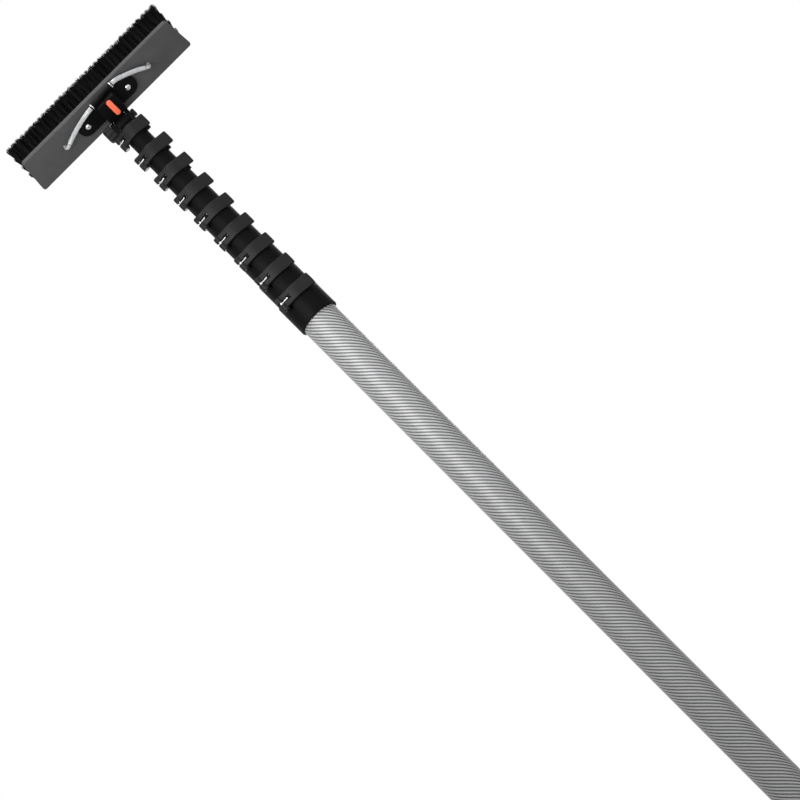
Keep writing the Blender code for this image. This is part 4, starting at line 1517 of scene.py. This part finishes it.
    def make_button(self) -> None:
        """Round-ended bar with a crowned front and soft rims."""
        outline = self.button_plan(0.0, self.button_roundness * self.button_half)
        front = self.front - self.button_proud
        shape = rounded_slab(outline, front, self.button_back, self.button_edge, self.button_crown)
        settle(self.piece("button_bar", shape), Looks.BUTTON, "button", "release_button")

    def make_spring(self) -> None:
        """Coil between the button and its pocket's floor.

        A point of its wire's middle is (r cos t, r sin t, z), where z grows evenly with the turn t.
        """
        turn = np.linspace(0, self.spring_turns * FULL_TURN, COARSE_SIDES * self.spring_turns + 1)
        inset = self.gap + self.spring_wire
        height = np.linspace(self.button_back + inset, self.pocket_floor - inset, len(turn))
        circle = self.button_middle + self.spring_radius * rays(turn)
        route = np.concatenate([circle, height[:, None]], axis=-1)
        wire = swept(route, np.full(len(turn), self.spring_wire), (0, 0, 1), self.wire_sides)
        coil = self.piece("button_coil", skin(wire, capped=True))
        settle(coil, Looks.STEEL, "head", "button_spring")
        floor = self.pivot + np.array((*self.button_middle, self.pocket_floor)) @ self.axes
        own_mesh(coil)


@dataclass
class WaterLine(OnHead):
    """Water tee above the bracket, its two clear hoses, and the jets that go down through the stock."""

    tee_half: float = 20.5 * MM
    tee_roll: float = math.radians(-10.0)
    tee_radius: float = 3.4 * MM
    tee_bore: float = 1.0 * MM
    tee_edge: float = 0.35 * MM
    waist_share: float = 0.88
    waist_start: float = 3.4 * MM
    waist_slope: float = 4.2 * MM
    collet_share: float = 1.24
    collet_slope: float = 4.4 * MM
    collet_start: float = 3.8 * MM
    ring_start: float = 2.7 * MM
    ring_end: float = 1.1 * MM
    ring_rise: float = 0.3 * MM
    ring_edge: float = 0.25 * MM
    inlet_edge: float = 0.3 * MM
    barb_radius: float = 1.7 * MM
    barb_length: float = 4.0 * MM
    barb_plain: float = 1.5 * MM
    barb_cone: float = 1.6 * MM
    barb_shares: tuple[float, float] = (1.12, 0.9)
    hose_radius: float = 3.1 * MM
    hose_bore: float = 2.1 * MM
    hose_sides: int = 28
    hose_steps: int = 64
    jet_z: float = 17.0 * MM
    jet_bore: float = 0.9 * MM
    jet_arm: float = 7.0 * MM
    jet_bend: float = 4.0 * MM
    jet_tip: float = 35.0 * MM
    bend_steps: int = 12
    nozzle_steps: int = 7
    arm_levels_mm: tuple[float, ...] = (11.0, 9.8, 8.2, 7.0, 6.98, 6.8, 5.4, 5.2)
    arm_radii_mm: tuple[float, ...] = (1.5, 1.9, 1.65, 1.65, 2.3, 2.6, 2.6, 2.45)
    right_slope: float = math.radians(35.0)
    left_slope: float = math.radians(25.0)
    right_pulls: tuple[float, float] = (4.0 * MM, 11.0 * MM)
    left_pulls: tuple[float, float] = (9.0 * MM, 17.0 * MM)

    def build(self) -> None:
        """Make the tee with its rings, then hose and jet on each side."""
        self.make_tee()
        for side, name, pulls in ((1, "right", self.right_pulls), (-1, "left", self.left_pulls)):
            self.make_hose(side, name, *pulls)
            self.make_jet(side, name)

    def tee_direction(self) -> np.ndarray:
        """Direction of the tee's right end."""
        return np.array((math.cos(self.tee_roll), 0.0, -math.sin(self.tee_roll)))

    def arm_direction(self, side: int) -> np.ndarray:
        """Direction from a jet's bend to its hose, level with the stock."""
        slope = self.right_slope if side > 0 else self.left_slope
        return np.array((-side * math.cos(slope), -math.sin(slope), 0.0))

    def jet_corner(self, side: int) -> np.ndarray:
        """Point where a jet's arm would meet its nozzle without the bend."""
        return np.array((side * self.jet_x, self.stock_middle, self.jet_z))

    def make_tee(self) -> None:
        """Turn the tee with a collet at each end and a boss in its middle, and ring each collet."""
        end, r, barb = self.tee_half, self.tee_radius, self.barb_radius
        tip = end + self.barb_length
        waist, wide = self.waist_share * r, self.collet_share * r
        swell, point = (share * barb for share in self.barb_shares)
        right = [(r, self.waist_start), (waist, self.waist_slope), (waist, end - self.collet_slope),
                 (wide, end - self.collet_start), (wide, end), (barb, end), (barb, end + self.barb_plain),
                 (swell, tip - self.barb_cone), (point, tip), (self.tee_bore, tip)]
        left = [(radius, -height) for radius, height in reversed(right)]
        body = turned(eased(right + left, self.tee_edge, 3), ROUND_SIDES, hollow=True)
        axes = rod_axes(self.tee_direction())
        start = self.tee + (0, 0.6 * r, 0)
        stop = (self.tee[0], self.inlet_end, self.tee[2])
        inlet = rod(self.inlet_radius, start, stop, edge=self.inlet_edge)
        tee = self.piece("water_tee", merged([body.placed(axes, self.tee), inlet]))
        settle(tee, Looks.COLLAR, "head", "hose_tee")
        low, high = end - self.ring_start, end - self.ring_end
        crest = wide + self.ring_rise
        loop = ((r, low), (crest, low), (crest, high), (r, high))
        ring = turned(eased(loop, self.ring_edge, 3), ROUND_SIDES, hollow=True)
        rings = merged([part.placed(axes, self.tee) for part in (ring, ring.raised(-low - high))])
        settle(self.piece("tee_rings", rings), Looks.STEEL, "head")

    def make_hose(self, side: int, name: str, tee_pull: float, jet_pull: float) -> None:
        """Sweep the hose's wall on a Bezier curve from the tee's barb to the jet's barb.

        Args:
            side: 1 for the right hose, and -1 for the left.
            name: Its side in words.
            tee_pull: How far the curve is pulled on along the tee's barb.
            jet_pull: How far it is pulled on along the jet's barb.
        """
        arm = self.arm_direction(side)
        out = side * self.tee_direction()
        start = self.tee + (self.tee_half + 2 * self.gap) * out
        end = self.jet_corner(side) + (self.jet_arm + 2 * self.gap) * arm
        near = [start + (self.barb_length + pull) * out for pull in (0.0, tee_pull)]
        far = [end + (self.barb_length + pull) * arm for pull in (jet_pull, 0.0)]
        route = np.concatenate([start[None], bezier(near + far, self.hose_steps), end[None]])
        wall = np.full(len(route), self.hose_radius)
        bore = np.full(len(route), self.hose_bore)
        piece = self.piece(f"water_hose_{name}", pipe(route, wall, bore, (0, 0, 1), self.hose_sides))
        self.mark_bore(piece)
        settle(piece, Looks.HOSE, "head", f"hose_{name}")

    @staticmethod
    def mark_bore(piece: bpy.types.Object) -> None:
        """Mark the second half of a pipe's points, which line its bore and are painted dark as painted
        shade.
        """
        values = np.repeat(np.array((0.0, 1.0), np.float32), len(piece.data.vertices) // 2)
        piece.data.attributes.new("bore", "FLOAT", "POINT").data.foreach_set("value", values)

    def make_jet(self, side: int, name: str) -> None:
        """Sweep barb, bend and nozzle as one wall whose radius steps up to a collar behind the barb.

        Args:
            side: 1 for the right jet, and -1 for the left.
            name: Its side in words.
        """
        arm = self.arm_direction(side)
        down = np.array((0.0, 0.0, 1.0))
        jet = self.jet_corner(side)
        bend = self.jet_bend
        turn = np.linspace(0, math.pi / 2, self.bend_steps + 1)[:, None]
        elbow = jet + bend * (arm + down) - bend * (np.sin(turn) * arm + np.cos(turn) * down)
        away = np.array(self.arm_levels_mm) * MM
        drop = np.linspace(bend, self.jet_tip - self.jet_z, self.nozzle_steps + 1)[1:, None]
        route = np.concatenate([jet + away[:, None] * arm, elbow, jet + drop * down])
        outer = np.full(len(route), self.jet_radius)
        outer[:len(away)] = np.array(self.arm_radii_mm) * MM
        bore = np.full(len(route), self.jet_bore)
        shape = pipe(route, outer, bore, np.cross(arm, down), self.hose_sides)
        piece = self.piece(f"water_jet_{name}", shape)
        self.mark_bore(piece)
        settle(piece, Looks.HOSE, "head", f"jet_{name}")


@dataclass
class Brush(OnHead):
    """Brush stock and its four rows of bristles, each row two staggered lines of flared tufts."""

    length: float = 265.0 * MM
    width: float = 53.0 * MM
    thickness: float = 8.0 * MM
    corner: float = 4.0 * MM
    taper: float = 0.03
    edge: float = 1.6 * MM
    screw_floor: float = 2.0 * MM
    rows: int = 4
    row_pitch: float = 13.0 * MM
    row_length: float = 262.0 * MM
    row_flare: float = 1.6 * MM
    end_flare: float = 1.8 * MM
    end_power: int = 6
    tips: float = 75.0 * MM
    line_pitch: float = 3.8 * MM
    tuft_pitch: float = 7.8 * MM
    tuft_radius: float = 1.7 * MM
    tuft_depth: float = 1.0 * MM
    tuft_lean: float = 0.3 * MM
    tuft_trim: float = 0.6 * MM
    tip_radius: float = 4.9 * MM
    tip_stray: float = 0.35 * MM
    tip_trim: float = 1.2 * MM
    tip_dome: float = 1.9 * MM
    loose_from: float = 0.96
    loose_reach: float = 0.15
    bristles: int = 110
    bristle_radius: float = 0.32 * MM
    bristle_taper: float = 0.35
    bristle_sides: int = 3
    bristle_rings: tuple[float, ...] = (0.0, 0.45, 0.8, 1.0)
    bend_power: float = 1.6
    seed: int = 41

    def build(self) -> None:
        """Make the stock, then each row of bristles."""
        self.make_stock()
        for row in range(self.rows):
            self.make_row(row)

    def make_stock(self) -> None:
        """Rounded slab whose length grows along the second axis, with holes for screws and jets."""
        front = self.stock_back + self.thickness
        outline = round_box(self.length / 2, self.width / 2, self.corner, (0, self.stock_middle))
        outline[:, 0] *= 1 + self.taper * (outline[:, 1] - self.stock_middle) / self.width
        piece = self.piece("stock_board", rounded_slab(outline, self.stock_back, front, self.edge))
        for side in (-1, 1):
            self.drill(piece, self.screw_radius, side * self.screw_spacing / 2, front - self.screw_floor)
            self.drill(piece, self.jet_radius, side * self.jet_x, 2 * front)
        settle(piece, Looks.STOCK, "head", "brush_stock")

    def tuft_centres(self, middle: float) -> np.ndarray:
        """Two lines of tufts, the second shifted by half a pitch.

        Args:
            middle: The row's place on the second axis.

        Returns:
            The centres as (tufts, 2).
        """
        half = self.row_length / 2 - self.tuft_radius
        count = int(2 * half / self.tuft_pitch) + 1
        first = np.linspace(-half, half, count)
        second = (first[1:] + first[:-1]) / 2
        lines = [np.stack([line, np.full(len(line), middle + side * self.line_pitch / 2)], axis=-1)
                 for line, side in ((first, -1), (second, 1))]
        return np.concatenate(lines)

    def make_row(self, row: int) -> None:
        """Fill a row's tufts with bristles, laid out in each tuft like the seeds of a sunflower.

        Tips spread over a wider disc than roots, lean out at the brush's ends, and fall away from
        each tuft's middle with the square of the distance.

        Args:
            row: Number of the row, from 0.
        """
        dice = np.random.default_rng(self.seed + row)
        offset = row - (self.rows - 1) / 2
        centre = self.tuft_centres(self.stock_middle + offset * self.row_pitch)
        count = len(centre)
        order = np.arange(self.bristles)
        reach = np.sqrt((order + 0.5) / self.bristles)
        turn = order * GOLDEN_ANGLE + dice.uniform(0, FULL_TURN, (count, 1))
        disc = reach[None, :, None] * rays(turn)
        along = centre[:, 0] / (self.row_length / 2)
        ends = self.end_flare * np.sign(along) * np.abs(along) ** self.end_power
        aside = np.stack([ends, np.full(count, 2 * offset * self.row_flare)], axis=-1)
        aside += dice.normal(0, self.tuft_lean, (count, 2))
        root = centre[:, None] + self.tuft_radius * disc
        loose = dice.uniform(0, 1, (count, self.bristles, 1)) > self.loose_from
        spread = self.tip_radius * (1 + self.loose_reach * loose) * disc
        tip = (centre + aside)[:, None] + spread + dice.normal(0, self.tip_stray, disc.shape)
        fall = self.tip_dome * reach ** 2 + dice.uniform(0, self.tip_trim, disc.shape[:2])
        fall += dice.uniform(0, self.tuft_trim, (count, 1))
        self.plant(row, root.reshape(-1, 2), tip.reshape(-1, 2), (self.tips - fall).reshape(-1), dice)

    def plant(self, row: int, root: np.ndarray, tip: np.ndarray, top: np.ndarray,
              dice: np.random.Generator) -> None:
        """Make one row's mesh of tapered bristles.

        A bristle leaves its root along the third axis, and its sideways way to the tip goes with
        the bend's power of the way along.

        Args:
            row: Number of the row, from 0.
            root: Roots of the bristles in the stock's plane, as (n, 2).
            tip: Their tips, as (n, 2).
            top: Level of each tip.
            dice: Source of the row's chance.
        """
        count, sides = len(root), self.bristle_sides
        way = np.array(self.bristle_rings)
        foot = self.stock_back + self.thickness - self.tuft_depth
        side = (way ** self.bend_power)[None, :, None]
        middle = root[:, None] * (1 - side) + tip[:, None] * side
        level = foot + way[None] * (top - foot)[:, None]
        angle = np.arange(sides) * FULL_TURN / sides + dice.uniform(0, FULL_TURN, (count, 1))
        thick = self.bristle_radius * (1 - self.bristle_taper * way)[None, :, None, None]
        plane = middle[:, :, None] + thick * rays(angle)[:, None]
        height = np.broadcast_to(level[:, :, None, None], (*plane.shape[:3], 1))
        points = np.concatenate([plane, height], axis=-1).reshape(-1, 3) @ self.axes + self.pivot
        each = len(way) * sides
        start = each * np.arange(count)[:, None, None]
        quads = (start + skin(np.zeros((len(way), sides, 3))).quads).reshape(-1, 4)
        ring = np.arange(sides)
        caps = (start + np.stack([ring[::-1], each - sides + ring])).reshape(-1, sides)
        mesh = bpy.data.meshes.new(f"tufts_{row + 1}")
        mesh.from_pydata(points.tolist(), [], quads.tolist() + caps.tolist())
        tone = np.repeat(dice.uniform(0, 1, count), each).astype(np.float32)
        along = np.tile(np.repeat(way, sides), count).astype(np.float32)
        for name, values in (("tone", tone), ("along", along)):
            mesh.attributes.new(name, "FLOAT", "POINT").data.foreach_set("value", values)
        settle(linked(f"tufts_{row + 1}", mesh), Looks.BRISTLE, "head", f"bristle_row_{row + 1}")


@dataclass(frozen=True)
class Lamp:
    """One soft square lamp."""

    name: str
    spot: tuple[float, float, float]
    aim: tuple[float, float, float]
    side: float
    watts: float

    def hang(self) -> None:
        """Put the lamp in its place, facing its aim."""
        data = bpy.data.lights.new(self.name, "AREA")
        data.shape = "RECTANGLE"
        data.size, data.size_y = self.side, self.side
        data.energy = self.watts
        turn = (Vector(self.aim) - Vector(self.spot)).to_track_quat("-Z", "Y").to_matrix().to_4x4()
        linked(self.name, data).matrix_world = Matrix.Translation(self.spot) @ turn


@dataclass
class Studio:
    """Camera, lamps, pale floor and white surround."""

    aim: np.ndarray = field(default_factory=lambda: np.array((-0.0010, 0.0, 1.53)))
    distance: float = 5.6
    rise: float = math.radians(15.1)
    lens: float = 200.0
    sensor: float = 36.0
    far_clip: float = 50.0
    ambient: float = 0.11
    floor_glow: float = 0.50
    floor_half: float = 9.0
    floor_drop: float = 0.2 * MM
    lamps: tuple[Lamp, ...] = (
        Lamp("key_lamp", spot=(-0.3, -0.75, 1.82), aim=(0.0, 0.0, 1.70), side=0.7, watts=8.5),
        Lamp("top_lamp", spot=(0.0, -1.2, 4.4), aim=(0.0, 0.0, 2.0), side=1.3, watts=58.0),
        Lamp("fill_lamp", spot=(1.5, -1.5, 1.75), aim=(0.0, 0.0, 1.6), side=1.0, watts=7.0),
        Lamp("back_lamp", spot=(0.7, 2.6, 2.8), aim=(0.0, 0.0, 1.7), side=1.4, watts=22.0),
    )

    def build(self) -> None:
        """Set the camera, the lamps, the floor and the surround."""
        self.set_camera()
        for lamp in self.lamps:
            lamp.hang()
        self.set_floor()
        self.set_surround()

    def set_camera(self) -> None:
        """Look up at the head from the operator's side, rolled so that the pole falls to the lower right.

        The view goes along d, up from the level by the rise. Level right and its upright are turned by an
        eighth of a turn to give the frame's right and up.
        """
        c, s = math.cos(self.rise), math.sin(self.rise)
        view = np.array((0.0, c, s))
        level = np.array((1.0, 0.0, 0.0))
        upright = np.array((0.0, -s, c))
        right = (level - upright) / math.sqrt(2)
        up = (level + upright) / math.sqrt(2)
        pose = np.eye(4)
        pose[:3, :3] = np.stack([right, up, -view], axis=-1)
        pose[:3, 3] = self.aim - self.distance * view
        data = bpy.data.cameras.new("camera")
        data.lens = self.lens
        data.sensor_width = self.sensor
        data.clip_end = self.far_clip
        camera = linked("camera", data)
        camera.matrix_world = Matrix(pose.tolist())
        bpy.context.scene.camera = camera

    def set_floor(self) -> None:
        """Lay a wide pale floor under the butt end, which glows where it is seen and lights nothing."""
        mesh = bpy.data.meshes.new("floor")
        half = self.floor_half
        signs = ((-1, -1), (1, -1), (1, 1), (-1, 1))
        corners = [(x * half, y * half, -self.floor_drop) for x, y in signs]
        mesh.from_pydata(corners, [], [(0, 1, 2, 3)])
        material = bpy.data.materials.new("floor_look")
        material.use_nodes = True
        desk = Desk(material.node_tree, "Principled BSDF")
        cloud = desk.noise(desk.place(), 3.0)
        desk.dress({
            "Base Color": desk.mix(cloud, grey(0.74), grey(0.82)),
            "Roughness": 0.7 + 0.2 * cloud,
            "Emission Color": desk.mix(self.shown(desk), grey(0.0), grey(self.floor_glow)),
            "Emission Strength": 1.0,
        })
        mesh.materials.append(material)
        linked("floor", mesh)

    @staticmethod
    def shown(desk: Desk) -> Wire:
        """One for rays from the camera, off gloss or through clear walls, and nought for the light itself.

        Args:
            desk: Where the material or the world is made.

        Returns:
            The larger of the three kinds' flags.
        """
        flags = desk.node("ShaderNodeLightPath").socket.node.outputs
        kinds = ("Is Camera Ray", "Is Glossy Ray", "Is Transmission Ray")
        camera, gloss, clear = (Wire(desk, flags[kind]) for kind in kinds)
        return desk.math("MAXIMUM", desk.math("MAXIMUM", camera, gloss), clear)

    def set_surround(self) -> None:
        """White world where it is seen, also in gloss and through clear walls, and softer as light."""
        world = bpy.data.worlds.new("surround")
        world.use_nodes = True
        desk = Desk(world.node_tree, "Background")
        strength = self.ambient + (1 - self.ambient) * self.shown(desk)
        desk.dress({"Color": (1.0, 1.0, 1.0, 1.0), "Strength": strength})
        bpy.context.scene.world = world


def main() -> None:
    """Load the frame, build every sub-assembly over it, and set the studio."""
    logging.basicConfig(level=logging.INFO, format="%(name)s: %(message)s")
    for item in list(bpy.data.objects):
        bpy.data.objects.remove(item, do_unlink=True)
    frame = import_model()
    bpy.context.scene.view_settings.view_transform = "Standard"
    joints = {joint["name"]: joint for joint in frame["joints"]}
    pivot = np.array(joints["head_tilt"]["pos_m"])
    first = np.array((1.0, 0.0, 0.0))
    third = np.array(joints["button_press"]["axis"])
    axes = np.stack([first, np.cross(third, first), third])
    Studio().build()
    PoleTubes().build()
    for number in range(1, SECTIONS):
        Clamp.from_frame(number, frame["joints"]).build()
    Neck(pivot).build()
    Bracket(pivot, axes).build()
    WaterLine(pivot, axes).build()
    Brush(pivot, axes).build()


if __name__ == "__main__":
    main()
